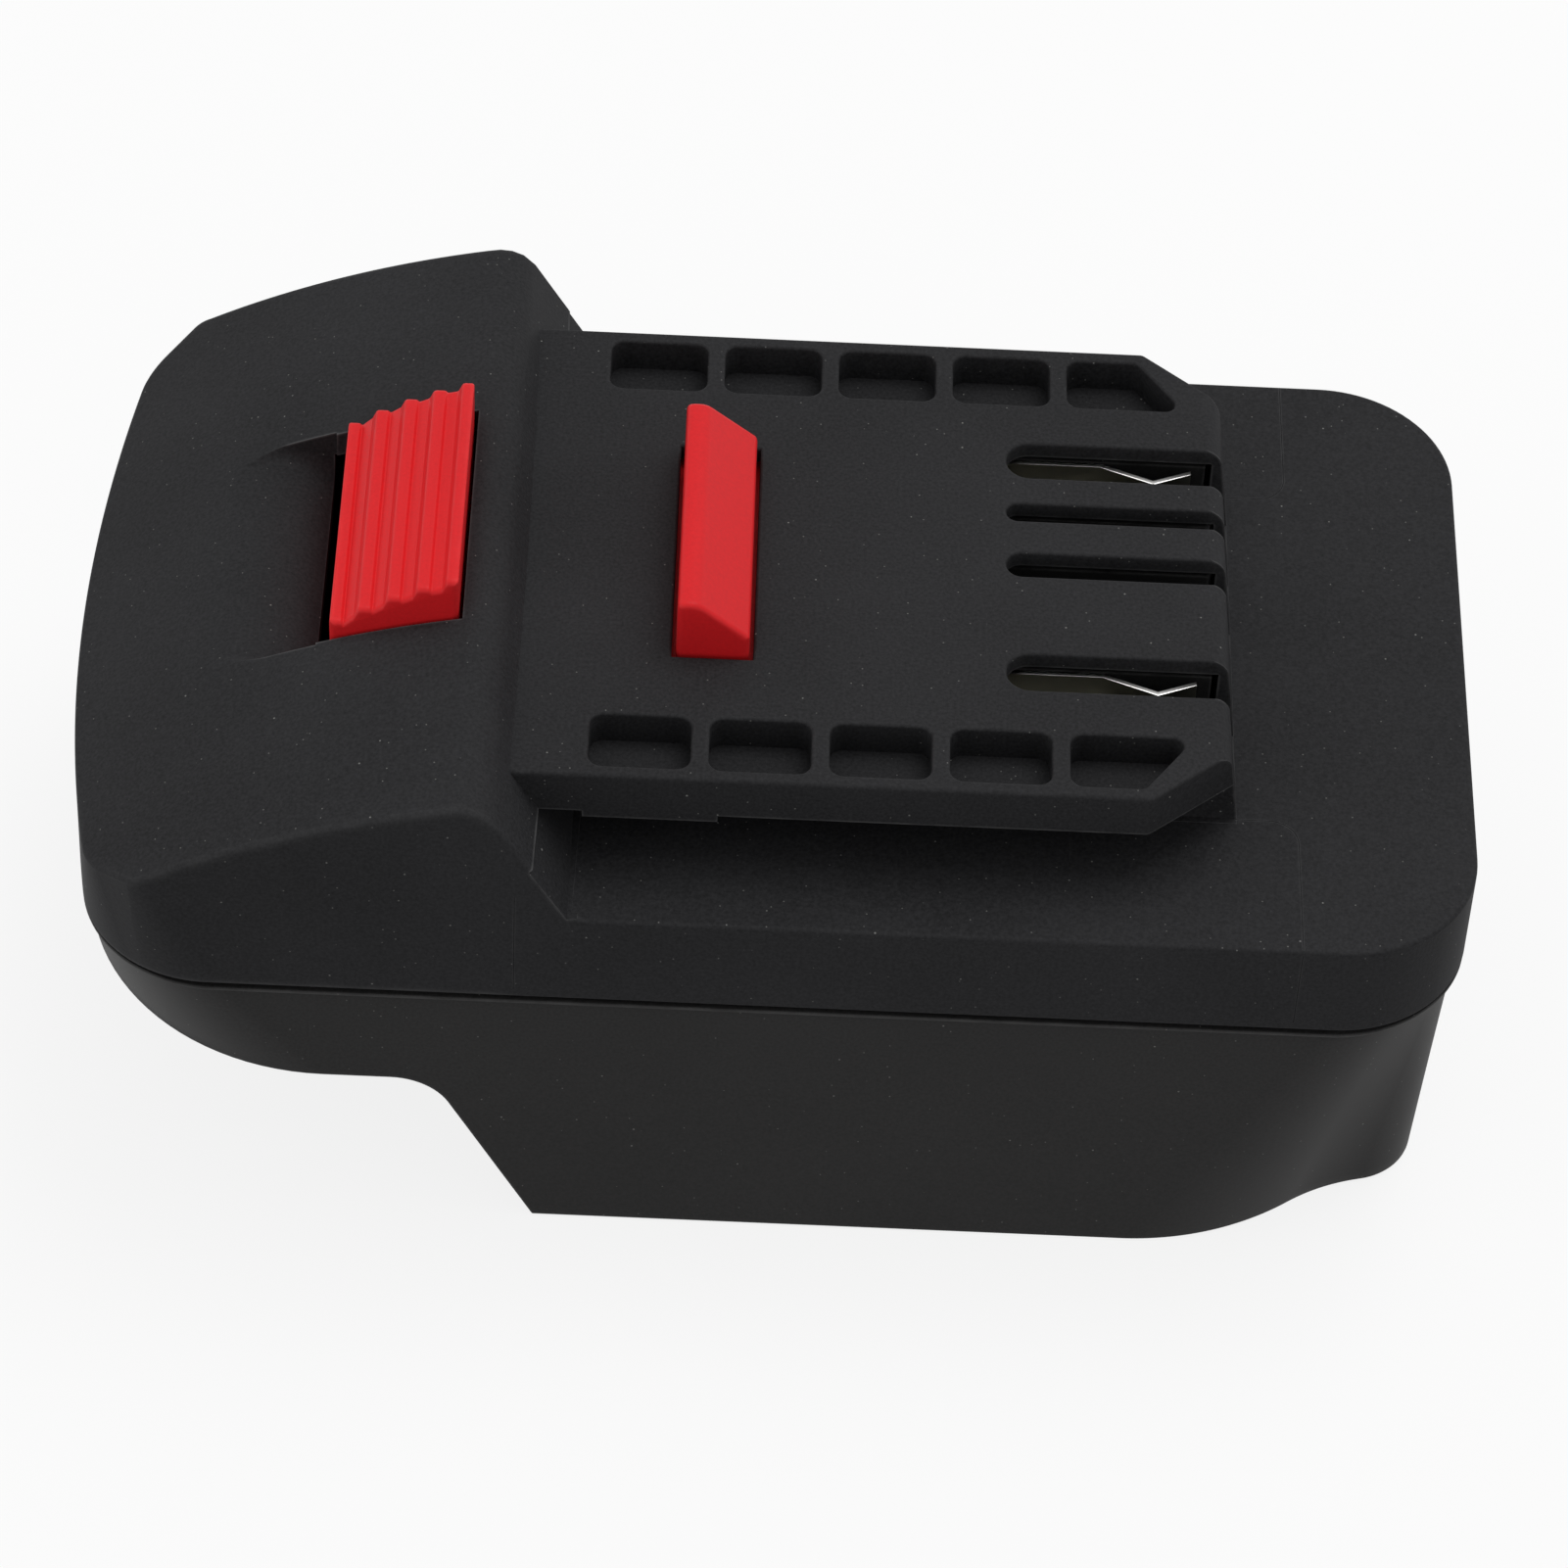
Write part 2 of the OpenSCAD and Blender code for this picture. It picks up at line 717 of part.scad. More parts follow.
// Everything in front of the skirt and below the chin
module chin_cut() {
    half_turn = step_angle / 2;
    slope = 1 / tan(step_angle);
    corner_x = rim_x0 - roof_z * slope;
    centre = [corner_x - step_fillet_r * tan(half_turn), roof_z - step_fillet_r];
    across(
        concat(
            [[-half_l - over, -over], [rim_x0 + over * slope, -over]],
            arc(centre, step_fillet_r, 90 - step_angle, 90, arc_n),
            [[-half_l - over, roof_z]]
        ),
        body_w + 2 * over
    );
}

module lower_shell() {
    lip_in = max(wall, wall + slip + lip_t - seam_step);
    lip_foot_z = seam_z - lip_h - lip_t;
    difference() {
        union() {
            skirt_solid([0, roof_z, seam_z - groove_h], 0);
            slab(plan(seam_step + groove_d), [seam_z - groove_h - over, seam_z]);
            slab(plan(wall + slip), [seam_z - over, seam_z + lip_h]);
        }
        skirt_solid([roof_top_z, lip_foot_z], wall);
        skirt_solid([lip_foot_z - over, seam_z + lip_h + over], lip_in);
        skirt_solid([-over, roof_z], wall);
        chin_cut();
    }
}

module guide_rails() {
    x1 = term_x0 - over;
    intersection() {
        skirt_solid([0, roof_z], wall / 2);
        both_sides()
            box([x1 - guide_l, x1], [guide_gap / 2, half_w], [guide_z, guide_z + guide_t]);
    }
}

module lower_housing() {
    catch_x1 = rim_x0 - catch_gap;
    through = [roof_z - over, roof_top_z + over];
    window_y = term_w / 2 + slip;
    color(black)
        difference() {
            union() {
                lower_shell();
                guide_rails();
                both_sides() {
                    post(front_boss, boss_r, [roof_z, post_z - slip]);
                    post(rear_boss, boss_r, [roof_z, post_z - slip]);
                }
            }
            both_sides() {
                post(front_boss, head_r + 2 * slip, [roof_z - over, seat_z]);
                post(rear_boss, head_r + 2 * slip, [roof_z - over, seat_z]);
                post(front_boss, screw_r + slip, [seat_z - over, post_z + over]);
                post(rear_boss, screw_r + slip, [seat_z - over, post_z + over]);
            }
            box([catch_x1 - catch_l, catch_x1], [-catch_w / 2, catch_w / 2], through);
            box([term_x0 - slip, term_x1 + slip], [-window_y, window_y], through);
        }
}

// Stepped top of the button, as X and Z from front to rear
function button_steps() =
    let (pitch = button_l / step_n)
    let (rise = button_rear_h - button_front_h)
    [for (k = [0 : step_n - 1])
        let (t = k / (step_n - 1))
        let (z = rail_z + button_front_h + rise * t + 4 * button_bulge * t * (1 - t))
        let (x = button_x0 + k * pitch)
        each [[x + pitch * tread_start, z], [x + pitch * tread_end, z - step_dip]]];

module release_latch() {
    shoulder_x = [tongue_x0 - shoulder_w, tongue_x1 + shoulder_w];
    color(red) {
        across(
            concat(
                [[button_x1, bridge_z0], [button_x0, bridge_z0]],
                [[button_x0, rail_z + button_front_h - button_lip]],
                button_steps(),
                [[button_x1, rail_z + button_rear_h - button_lip]]
            ),
            button_w
        );
        bar([button_x0, tongue_x1], [bridge_z0, bridge_z1], bridge_w);
        bar(shoulder_x, [bridge_z0, skin_z - slip], tongue_w + 2 * shoulder_w);
        across(
            [
                [tongue_x0, bridge_z0],
                [tongue_x0, rail_z + tongue_h - tongue_edge],
                [tongue_x0 + tongue_edge, rail_z + tongue_h],
                [tongue_x0 + tongue_edge + tongue_land, rail_z + tongue_h],
                [tongue_x1, rail_z + tongue_toe_h],
                [tongue_x1, bridge_z0]
            ],
            tongue_w
        );
        both_sides()
            post([spring_x, spring_gap / 2], stud_r, [bridge_z0 - stud_h, bridge_z0 + over]);
    }
}

// Helix of a latch spring between its two seats
module latch_spring(y) {
    rings = spring_turns * spring_ring_n;
    low = carrier_z + spring_wire_d / 2;
    rise = spring_l - spring_wire_d;
    color(steel)
        tube(
            [for (k = [0 : rings])
                [
                    spring_x + spring_r * cos(360 * k / spring_ring_n),
                    y + spring_r * sin(360 * k / spring_ring_n),
                    low + rise * k / rings
                ]],
            spring_wire_d / 2 - slip / 4,
            spring_side_n,
            [0, 0, 1]
        );
}

module latch_spring_left() {
    latch_spring(spring_gap / 2);
}

module latch_spring_right() {
    latch_spring(-spring_gap / 2);
}

module spring_carrier() {
    w = carrier_boss[1] + boss_r;
    color(inner_black)
        difference() {
            union() {
                translate([spring_x, 0, carrier_z - carrier_t])
                    linear_extrude(carrier_t)
                        round_rect([carrier_l, 2 * w], boss_r / 2);
                both_sides()
                    post([spring_x, spring_gap / 2], stud_r, [carrier_z - over, carrier_z + stud_h]);
            }
            both_sides()
                post(carrier_boss, screw_r + slip, [carrier_z - carrier_t - over, carrier_z + over]);
        }
}

// Pan-head screw that points up, its head's bearing face at the given height
module screw(at, z, length) {
    difference() {
        union() {
            post(at, head_r, [z - head_h, z]);
            post(at, screw_r, [z - over / 2, z + length]);
        }
        for (turn = [0, 90])
            translate([at[0], at[1], z - head_h])
                rotate(turn)
                    cube([head_d * recess_share, recess_w, head_h], center = true);
    }
}

module carrier_screws() {
    color(steel)
        both_sides()
            screw(carrier_boss, carrier_z - carrier_t, short_screw_l);
}

module contact_block_screws() {
    color(steel)
        both_sides()
            screw(ear_boss, ear_z1 - ear_t, short_screw_l);
}

module housing_screws() {
    color(steel)
        both_sides() {
            screw(front_boss, seat_z, housing_screw_l);
            screw(rear_boss, seat_z, housing_screw_l);
        }
}

module contact_block() {
    y = block_w / 2;
    channel = [clip_x0 - slip, block_x1 + over];
    above = [block_floor_z, clip_z1 + over];
    clip_half = clip_w / 2 + slip;
    tail_half = tail_w / 2 + slip;
    tail_z = [block_floor_z, block_floor_z + clip_t + slip];
    color(inner_black)
        difference() {
            union() {
                box([block_back_x, block_x1], [-y, y], [block_z0, clip_z1]);
                box([ear_x0, block_back_x + over], [-ear_w / 2, ear_w / 2], [ear_z1 - ear_t, ear_z1]);
            }
            both_sides() {
                box(channel, [clip_y - clip_half, clip_y + clip_half], above);
                box([block_back_x - over, clip_x0], [clip_y - tail_half, clip_y + tail_half], tail_z);
                post(ear_boss, screw_r + slip, [ear_z1 - ear_t - over, ear_z1 + over]);
            }
            for (slot = [[1, side_slot_w], [0, middle_slot_w]])
                translate([0, slot[0] * slot_pitch, 0])
                    box(channel, [-slot[1] / 2 - block_slot_fit, slot[1] / 2 + block_slot_fit], above);
        }
}

// Clip contact: two sprung leaves on a base, with a tail for the wire
module clip(y) {
    x1 = clip_x0 + clip_l;
    bend_x = clip_x0 + clip_l * clip_bend_share;
    throat_x = clip_x0 + clip_l * clip_throat_share;
    root = clip_root_gap / 2;
    base_y = root + clip_t / 2;
    tail_x0 = clip_x0 - tail_l;
    tail_y = tail_w / 2;
    base = [
        [tail_x0, -tail_y], [clip_x0, -tail_y], [clip_x0, -base_y], [bend_x, -base_y],
        [bend_x, base_y], [clip_x0, base_y], [clip_x0, tail_y], [tail_x0, tail_y]
    ];
    leaf = [
        [clip_x0, root], [bend_x, root], [throat_x, clip_throat_gap / 2], [x1, clip_tip_gap / 2]
    ];
    color(nickel)
        translate([0, y, 0]) {
            both_sides()
                slab(
                    concat(leaf, [for (i = [len(leaf) - 1 : -1 : 0]) leaf[i] + [0, clip_t]]),
                    [block_floor_z, clip_z1]
                );
            slab(base, [block_floor_z, block_floor_z + clip_t]);
        }
}

module positive_clip() {
    clip(clip_y);
}

module negative_clip() {
    clip(-clip_y);
}

module terminal_block() {
    w = term_w / 2;
    slot = blade_t / 2 + slip / 2;
    slot_x1 = blade_x1 + slip / 2;
    riser_x0 = blade_x1 - blade_riser_l - slip / 2;
    color(inner_black)
        difference() {
            union() {
                box([term_x0, term_x1], [-w, w], [term_z0, flange_z1]);
                box(
                    [term_x0 - flange_w, term_x1 + flange_w],
                    [-w - flange_w, w + flange_w],
                    [roof_top_z, flange_z1]
                );
            }
            both_sides()
                translate([0, blade_gap / 2, 0]) {
                    box([term_x0 - over, slot_x1], [-slot, slot], [blade_z0, roof_z]);
                    box([riser_x0, slot_x1], [-slot, slot], [blade_z0, flange_z1 + over]);
                }
        }
}

// Battery blade: a flat tongue in the socket with a riser for the wire
module blade(y) {
    x0 = term_x0 - blade_l;
    z1 = blade_z0 + blade_h;
    color(nickel)
        translate([0, y, 0])
            across(
                [
                    [x0, blade_z0 + blade_cut],
                    [x0 + blade_cut, blade_z0],
                    [blade_x1, blade_z0],
                    [blade_x1, blade_top_z],
                    [blade_x1 - blade_riser_l, blade_top_z],
                    [blade_x1 - blade_riser_l, z1],
                    [x0 + blade_cut, z1],
                    [x0, z1 - blade_cut]
                ],
                blade_t
            );
}

module positive_blade() {
    blade(blade_gap / 2);
}

module negative_blade() {
    blade(-blade_gap / 2);
}

// Inner wire from under a clip's tail to the top of a blade's riser
module wire(side, shade) {
    start = [wire_clip_x, side * clip_y, block_floor_z - slip / 2];
    end = [wire_blade_x, side * blade_gap / 2, blade_top_z + slip / 2];
    lead = [0, 0, wire_lead];
    stub = [0, 0, wire_stub];
    handles = [start - stub, start - lead, end + lead, end + stub];
    bend = [for (k = [0 : wire_ring_n]) bezier(handles, k / wire_ring_n)];
    color(shade)
        tube(concat([start], bend, [end]), wire_r, wire_side_n, [0, 1, 0]);
}

module positive_wire() {
    wire(1, wire_red);
}

module negative_wire() {
    wire(-1, wire_black);
}

// Shrink sleeves over the joints between wires and blades
module wire_sleeves() {
    r = norm([blade_riser_l, blade_t]) / 2 + slip;
    color(sleeve_black)
        both_sides()
            translate([wire_blade_x, blade_gap / 2, blade_top_z - sleeve_l / 2])
                difference() {
                    cylinder(r = r + sleeve_t, h = sleeve_l);
                    translate([0, 0, -over])
                        cylinder(r = r, h = sleeve_l + 2 * over);
                }
}

upper_housing();
lower_housing();
release_latch();
latch_spring_left();
latch_spring_right();
spring_carrier();
carrier_screws();
contact_block();
contact_block_screws();
positive_clip();
negative_clip();
terminal_block();
positive_blade();
negative_blade();
positive_wire();
negative_wire();
wire_sleeves();
housing_screws();
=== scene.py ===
import json
import math

import bmesh
import bpy
from mathutils import Matrix, Vector
from mathutils.geometry import delaunay_2d_cdt


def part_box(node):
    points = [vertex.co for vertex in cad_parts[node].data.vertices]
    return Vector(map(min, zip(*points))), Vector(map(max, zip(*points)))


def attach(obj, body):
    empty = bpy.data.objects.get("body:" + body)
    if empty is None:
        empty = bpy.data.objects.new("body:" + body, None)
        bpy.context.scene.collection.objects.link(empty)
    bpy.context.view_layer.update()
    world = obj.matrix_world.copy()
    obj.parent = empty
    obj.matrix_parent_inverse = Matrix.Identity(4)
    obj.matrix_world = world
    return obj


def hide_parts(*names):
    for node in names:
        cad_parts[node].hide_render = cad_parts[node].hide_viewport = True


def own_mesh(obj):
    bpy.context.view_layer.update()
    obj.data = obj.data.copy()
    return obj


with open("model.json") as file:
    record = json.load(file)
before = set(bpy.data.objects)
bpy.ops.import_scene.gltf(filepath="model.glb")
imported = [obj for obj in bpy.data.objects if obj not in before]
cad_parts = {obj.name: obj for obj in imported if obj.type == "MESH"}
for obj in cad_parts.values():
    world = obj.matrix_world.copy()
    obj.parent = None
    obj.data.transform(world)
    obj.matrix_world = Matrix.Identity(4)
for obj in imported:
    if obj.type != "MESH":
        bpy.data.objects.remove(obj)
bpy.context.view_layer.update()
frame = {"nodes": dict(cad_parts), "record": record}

# Sizes are in millimetres and become metres where a mesh is made
MM = 0.001
# Left and right side of the part
SIDES = (1, -1)
# Length by which cutters and joined forms run past a face
LAP = 1.0


def box_mm(node):
    low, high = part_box(node)
    return low / MM, high / MM


# Upper housing: outline, seam and deck
SHELL_HIGH = box_mm("upper_housing")[1]
HALF_L = SHELL_HIGH.x
HALF_W = SHELL_HIGH.y
SEAM_Z = 29.9
DECK_Z = 39.8
BOW_R = 147.0
FRONT_CORNER_R = 11.5
BROW_CORNER_R = 7.0
BROW_EDGE_R = 2.0
BROW_REACH = 61.35
BROW_DEPTH = 1.0
REAR_CORNER_R = 11.7
SEAM_EDGE_R = 0.3
SEAM_INSET = 1.2
SEAM_DEPTH = 8.0
DECK_EDGE_R = 0.4

# Finished faces lie this far inside the faces of their nodes
SKIN = 0.03
LOWER_SKIN = 0.1

# Steps of round and straight stretches. A brow corner has as many points as a seam corner
SIDE_STEPS = 96
CORNER_STEPS = 24
TIGHT_STEPS = 9
WIDE_STEPS = CORNER_STEPS - TIGHT_STEPS - 1
FOOT_STEPS = 32
HOLLOW_STEPS = 24
ROUND_STEPS = 6
EDGE_STEPS = 5
SMALL_STEPS = 3

# Nose: a long arc, a ridge and a rear slope, crowned across
RAIL_X0 = -21.4
RAIL_Z = 49.8
NOSE_ARC_R = 89.0
NOSE_PEAK_X = 14.1
NOSE_PEAK_H = 5.4
NOSE_PEAK = Vector((RAIL_X0 + NOSE_PEAK_X, RAIL_Z + NOSE_PEAK_H))
NOSE_CROWN_R = 760.0
NOSE_REAR_ANGLE = 60.0
RIDGE_R = 3.4
CREASE_R = 0.55
FRONT_CREASE_R = 0.5
CREASE_FADE = 4.0
CREASE_STEPS = 8
SLOPE_STEP = 0.4
SLOPE_NUDGE = 0.01

# Grid of points on the nose
GRID_X = 1.5
GRID_Y = 2.0
GRID_ROWS = 17
GRID_GAP = 1.2
RIDGE_GAP = 0.5
RIDGE_STEPS = 10
REAR_STEPS = 3
GRID_TOLERANCE = 1e-7

# Rail plate
RAIL_X1 = 38.5
RAIL_W = 54.0
RAIL_T = 4.35
RAIL_EDGE_R = 0.35
RAIL_CORNER_R = 0.8
RAIL_CUT = Vector((6.9, 5.8))
RAIL_END_LEAN = 1.1
RAIL_BACK = 2.0
END_ROOM = 2.5
NECK_W = 38.8
NECK_ROOM = 0.6
HEEL_ROOM = 1.2
RECESS_D = 0.8
RECESS_LIFT = 0.02
HEEL_X0 = -15.6
HEEL_X1 = -4.3
HEEL_CUT_L = 1.4
HEEL_CUT_H = 1.0

# Finger scoop and mould lines
SCOOP_W = 25.8
SCOOP_Z = 45.4
SCOOP_R = 1.5
SCOOP_X0 = -48.5
SCOOP_D = 4.9
SCOOP_STEPS = 14
SCOOP_ARC_STEPS = 8
SCOOP_FILL = 1.5
SCOOP_FILL_X = 8.0
SLOT_PAST = 0.2
BUTTON_FRONT_FIT = 1.3
MOULD_LINE_X = 44.85
MOULD_LINE_Y = 19.5
MOULD_LINE_R = 2.5
NOSE_LINE_X = -20.8
NOSE_LINE_Z = 42.5
LINE_W = 0.11
LINE_D = 0.05
LINE_FOOT = 1.0
LINE_STEPS = 10

# Pockets, slots and the rounding of their rims
POCKET_N = 5
POCKET_PITCH = 10.03
POCKET_L = 8.5
POCKET_W = 5.9
POCKET_R = 1.2
POCKET_D = 3.3
POCKET_FILL = 0.4
LAST_POCKET_R = 0.9
SHARP_R = 0.15
POCKET_EDGE = 1.3
POCKET_END_GAP = 9.4
LAST_POCKET_L = 10.3
LAST_POCKET_SLANT = 4.1
SLOT_PITCH = 6.4
SLOT_L = 19.0
SLOT_WIDTHS = {-2: 4.2, 0: 2.8, 1: 2.1, 2: 4.2}
SLOT_MOUTH_R = 0.1
SLOT_ARC_STEPS = 10
SLOT_ARC_GAP = 0.001
RIM_R = 0.3
RIM_LIFT = 0.006
RIM_IN = 0.004
RIM_FOOT_IN = 0.05
RIM_FOOT_H = 0.1

# Lower housing
SEAM_STEP = 0.6
ROOF_Z = 18.0
RIM_X1 = 58.65
RIM_W = 33.5
SIDE_DRAFT = 0.2
CHIN_CORNER_R = 22.0
GRIP_R = 25.0
GRIP_TURN = 36.5
HOLLOW_R = 18.0
HOLLOW_TURN = 23.5
FOOT_CORNER_R = 6.0
WALL_TOP_Z = 29.2
RIM_EDGE_R = 0.5
WALL_EDGE_R = 0.25
WALL_STEPS = 24
INNER_RIM_H = 4.0
CORNER_SKIN = 0.5
CORNER_X0 = 22.0
LIP_OUT = 0.56
LIP_IN = -1.3
LIP_Z0 = 29.1
LIP_Z1 = 29.44
LIP_R = 0.12

# Latch
LATCH_LOW, LATCH_HIGH = box_mm("release_latch")
BUTTON_X0 = LATCH_LOW.x
BUTTON_L = 10.9
BUTTON_W = 24.6
BUTTON_FRONT_H = 1.7
BUTTON_REAR_H = 7.0
BUTTON_BULGE = 0.45
RIB_N = 5
RIB_HALF = 0.48
RIB_INSET = 0.5
RIB_RISE = 1.0
RIB_DIP = 0.26
RIB_R = 0.4
RIB_FOOT = 0.42
RIB_TOE = 0.2
BUTTON_LIP = 0.5
TONGUE_X0 = -8.4
TONGUE_L = 6.2
TONGUE_W = 24.8
TONGUE_H = 5.65
TONGUE_TOE_H = 1.95
TONGUE_LAND = 1.7
TONGUE_FIT = 0.35
TONGUE_SLOT_R = 0.1
TONGUE_EDGE_R = 0.7
TONGUE_BEND_R = 1.6
LATCH_CUT_Z = 47.0
LATCH_LAP = 0.2
LATCH_END_R = 0.5
LATCH_STEPS = 4
# Largest share of an edge that the rounding of a corner takes, and the least rounding that is made
CORNER_SHARE = 0.48
LEAST_CORNER = 1e-4

# Springs
SPRING_R = 2.6
SPRING_WIRE_R = 0.33
SPRING_TURNS = 6
SPRING_STEPS = 28
SPRING_SIDES = 10

# Finish of the meshes: angles in degrees, and the distance in metres within which points are joined
WELD = 1e-6
SHARP_ANGLE = 32.0
FLAT_ANGLE = 1.0
BEVEL_ANGLE = 40.0
BEVEL_STEPS = 2

# Camera of the photograph, in millimetres, with its axes as rows: right, up, back
CAMERA_PLACE = (-5.688, -393.631, 440.536)
CAMERA_RIGHT = (0.998992, 0.022809, 0.038660)
CAMERA_UP = (-0.043083, 0.728978, 0.683180)
CAMERA_BACK = (-0.012600, -0.684157, 0.729226)
CAMERA_LENS = 148.817
CAMERA_SENSOR = 36.0

# Patterns of the looks: sizes in millimetres, and the stretch of a soft pattern that is used
PATTERN_SPAN = (0.3, 0.7)
DRIFT_SIZE = 18.0
DRIFT_SHARE = 0.3
GRAIN_SIZE = 0.3
GRAIN_BUMP = 0.4
GLOSS_SPAN = 0.05
EDGE_PATCH_SIZE = 2.5
EDGE_PATCH_SPAN = (0.2, 0.6)
EDGE_SPAN = (0.9, 0.4)
EDGE_SAMPLES = 8
STREAK_SIZE = 0.25
STREAK_DEPTH = 0.005
STREAK_GLOSS = (-0.4, 0.6)
PATCH_SIZE = 3.0
PATCH_TONE = 0.85
HIGHLIGHT_FACING = (0.6, 0.85)

# Light edges, partly wear and partly a painted highlight along the nose's crease, are wider at the nose's
# sides, and the change is gradual between these places
NOSE_HIGHLIGHT_X0 = -23.0
NOSE_HIGHLIGHT_X1 = -20.0
NOSE_HIGHLIGHT_Y0 = 16.0
NOSE_HIGHLIGHT_Y1 = 20.0

# Dust: spacing, radius and shade of the specks, the share of the radius that is covered fully, and the tint
DUST = ((1.0, 0.08, 0.15), (2.2, 0.1, 0.2), (7.0, 0.14, 0.24))
DUST_CORE = 0.6
DUST_TINT = 0.96

# Sockets of the mixing node that carry colours
MIX_INPUTS = (6, 7)
MIX_OUTPUT = 2

# Floor and light
FLOOR_HALF = 2500.0
FLOOR_Z = -0.05
FLOOR_SEEN = 0.95
FLOOR_BOUNCE = 0.35
FLOOR_GLOW = 0.84
WORLD_LIGHT = 0.57
LIGHT_AIM = (0, 0, 30)


# Meshes and solids

def add_object(name, mesh):
    obj = bpy.data.objects.new(name, mesh)
    bpy.context.scene.collection.objects.link(obj)
    return obj


def solid(name, points, faces):
    """Mesh object from points in millimetres, with its faces turned outward"""
    mesh = bpy.data.meshes.new(name)
    mesh.from_pydata([Vector(p) * MM for p in points], [], faces)
    shape = bmesh.new()
    shape.from_mesh(mesh)
    bmesh.ops.recalc_face_normals(shape, faces=shape.faces)
    bmesh.ops.triangulate(shape, faces=[f for f in shape.faces if len(f.verts) > 4])
    shape.to_mesh(mesh)
    shape.free()
    return add_object(name, mesh)


def cad_copy(node, name):
    """Copy of a node's mesh, with the points of neighbouring faces joined"""
    shape = bmesh.new()
    shape.from_mesh(frame["nodes"][node].data)
    bmesh.ops.remove_doubles(shape, verts=shape.verts, dist=WELD)
    bmesh.ops.dissolve_degenerate(shape, edges=shape.edges, dist=WELD)
    points = [v.co.copy() for v in shape.verts]
    shape.verts.index_update()
    faces = [[v.index for v in f.verts] for f in shape.faces]
    shape.free()
    mesh = bpy.data.meshes.new(name)
    mesh.from_pydata(points, [], faces)
    return add_object(name, mesh)


def bake_modifiers(obj):
    graph = bpy.context.evaluated_depsgraph_get()
    mesh = bpy.data.meshes.new_from_object(obj.evaluated_get(graph))
    obj.modifiers.clear()
    old = obj.data
    obj.data = mesh
    bpy.data.meshes.remove(old)


def combine(obj, other, operation):
    """Boolean of two closed solids, which uses up the second one"""
    step = obj.modifiers.new(operation, "BOOLEAN")
    step.operation = operation
    step.solver = "MANIFOLD"
    step.object = other
    bake_modifiers(obj)
    bpy.data.objects.remove(other)


def joined(objects):
    """One object that holds the meshes of several"""
    shape = bmesh.new()
    for obj in objects:
        shape.from_mesh(obj.data)
    first = objects[0]
    shape.to_mesh(first.data)
    shape.free()
    for obj in objects[1:]:
        bpy.data.objects.remove(obj)
    return first


def soften(obj):
    """Smooth shading that keeps flat faces flat and hard edges hard"""
    mesh = obj.data
    mesh.shade_smooth()
    mesh.set_sharp_from_angle(angle=math.radians(SHARP_ANGLE))
    step = obj.modifiers.new("normals", "WEIGHTED_NORMAL")
    step.keep_sharp = True


def bevel(obj, width):
    step = obj.modifiers.new("edges", "BEVEL")
    step.width = width * MM
    step.segments = BEVEL_STEPS
    step.limit_method = "ANGLE"
    step.angle_limit = math.radians(BEVEL_ANGLE)
    step.use_clamp_overlap = True
    bake_modifiers(obj)


# Plan outlines are lists of points with their outward normals, anticlockwise

def arc(centre, r, start, end, count, hollow=False):
    """Outline points along an arc between two angles in degrees"""
    made = []
    for k in range(count + 1):
        turn = math.radians(start + (end - start) * k / count)
        ray = Vector((math.cos(turn), math.sin(turn)))
        made.append((Vector(centre) + r * ray, -ray if hollow else ray))
    return made


def mirrored(outline):
    return [(Vector((p.x, -p.y)), Vector((n.x, -n.y))) for p, n in reversed(outline)]


def between(first, last, count):
    """Points inside the straight stretch that joins two outline points"""
    return [(first[0].lerp(last[0], k / count), first[1]) for k in range(1, count)]


def front_end(w, r, inset):
    """Front end of an outline: a round corner, the bow and the other corner"""
    bow = Vector((BOW_R - HALF_L, 0))
    cy = w - r
    cx = bow.x - math.sqrt((BOW_R - r) ** 2 - cy * cy)
    turn = math.degrees(math.atan2(cy, cx - bow.x))
    corner = arc((cx, cy), r - inset, 90, turn, CORNER_STEPS)
    middle = arc(bow, BOW_R - inset, turn, 360 - turn, 2 * CORNER_STEPS)
    return corner + middle[1:-1] + mirrored(corner)


def brow_end():
    """Front end at the brow: each corner is a tight turn, a slanted face and a wider turn into the bow"""
    bow = Vector((BOW_R - HALF_L, 0))
    out = Vector((-1, 1)).normalized()
    along = Vector((1, 1)).normalized()
    tight = Vector((HALF_W - BROW_EDGE_R - (BROW_REACH - BROW_EDGE_R) / out.y, HALF_W - BROW_EDGE_R))
    base = out * (BROW_REACH - BROW_CORNER_R)
    offset = along.dot(base - bow)
    rest = (BOW_R - BROW_CORNER_R) ** 2 - (base - bow).length_squared
    wide = base + along * (-offset - math.sqrt(offset * offset + rest))
    turn = math.degrees(math.atan2(wide.y, wide.x - bow.x))
    corner = arc(tight, BROW_EDGE_R, 90, 135, TIGHT_STEPS)
    corner += arc(wide, BROW_CORNER_R, 135, turn, WIDE_STEPS)
    middle = arc(bow, BOW_R, turn, 360 - turn, 2 * CORNER_STEPS)
    return corner + middle[1:-1] + mirrored(corner)


def rear_corner(inset, count):
    return arc((HALF_L - REAR_CORNER_R, HALF_W - REAR_CORNER_R), REAR_CORNER_R - inset, 0, 90, count)


def plan_outline(front):
    """Outline of the upper housing round a given front end"""
    rear = rear_corner(0, CORNER_STEPS)
    side = between(rear[-1], front[0], SIDE_STEPS)
    return rear + side + front + mirrored(side) + mirrored(rear)


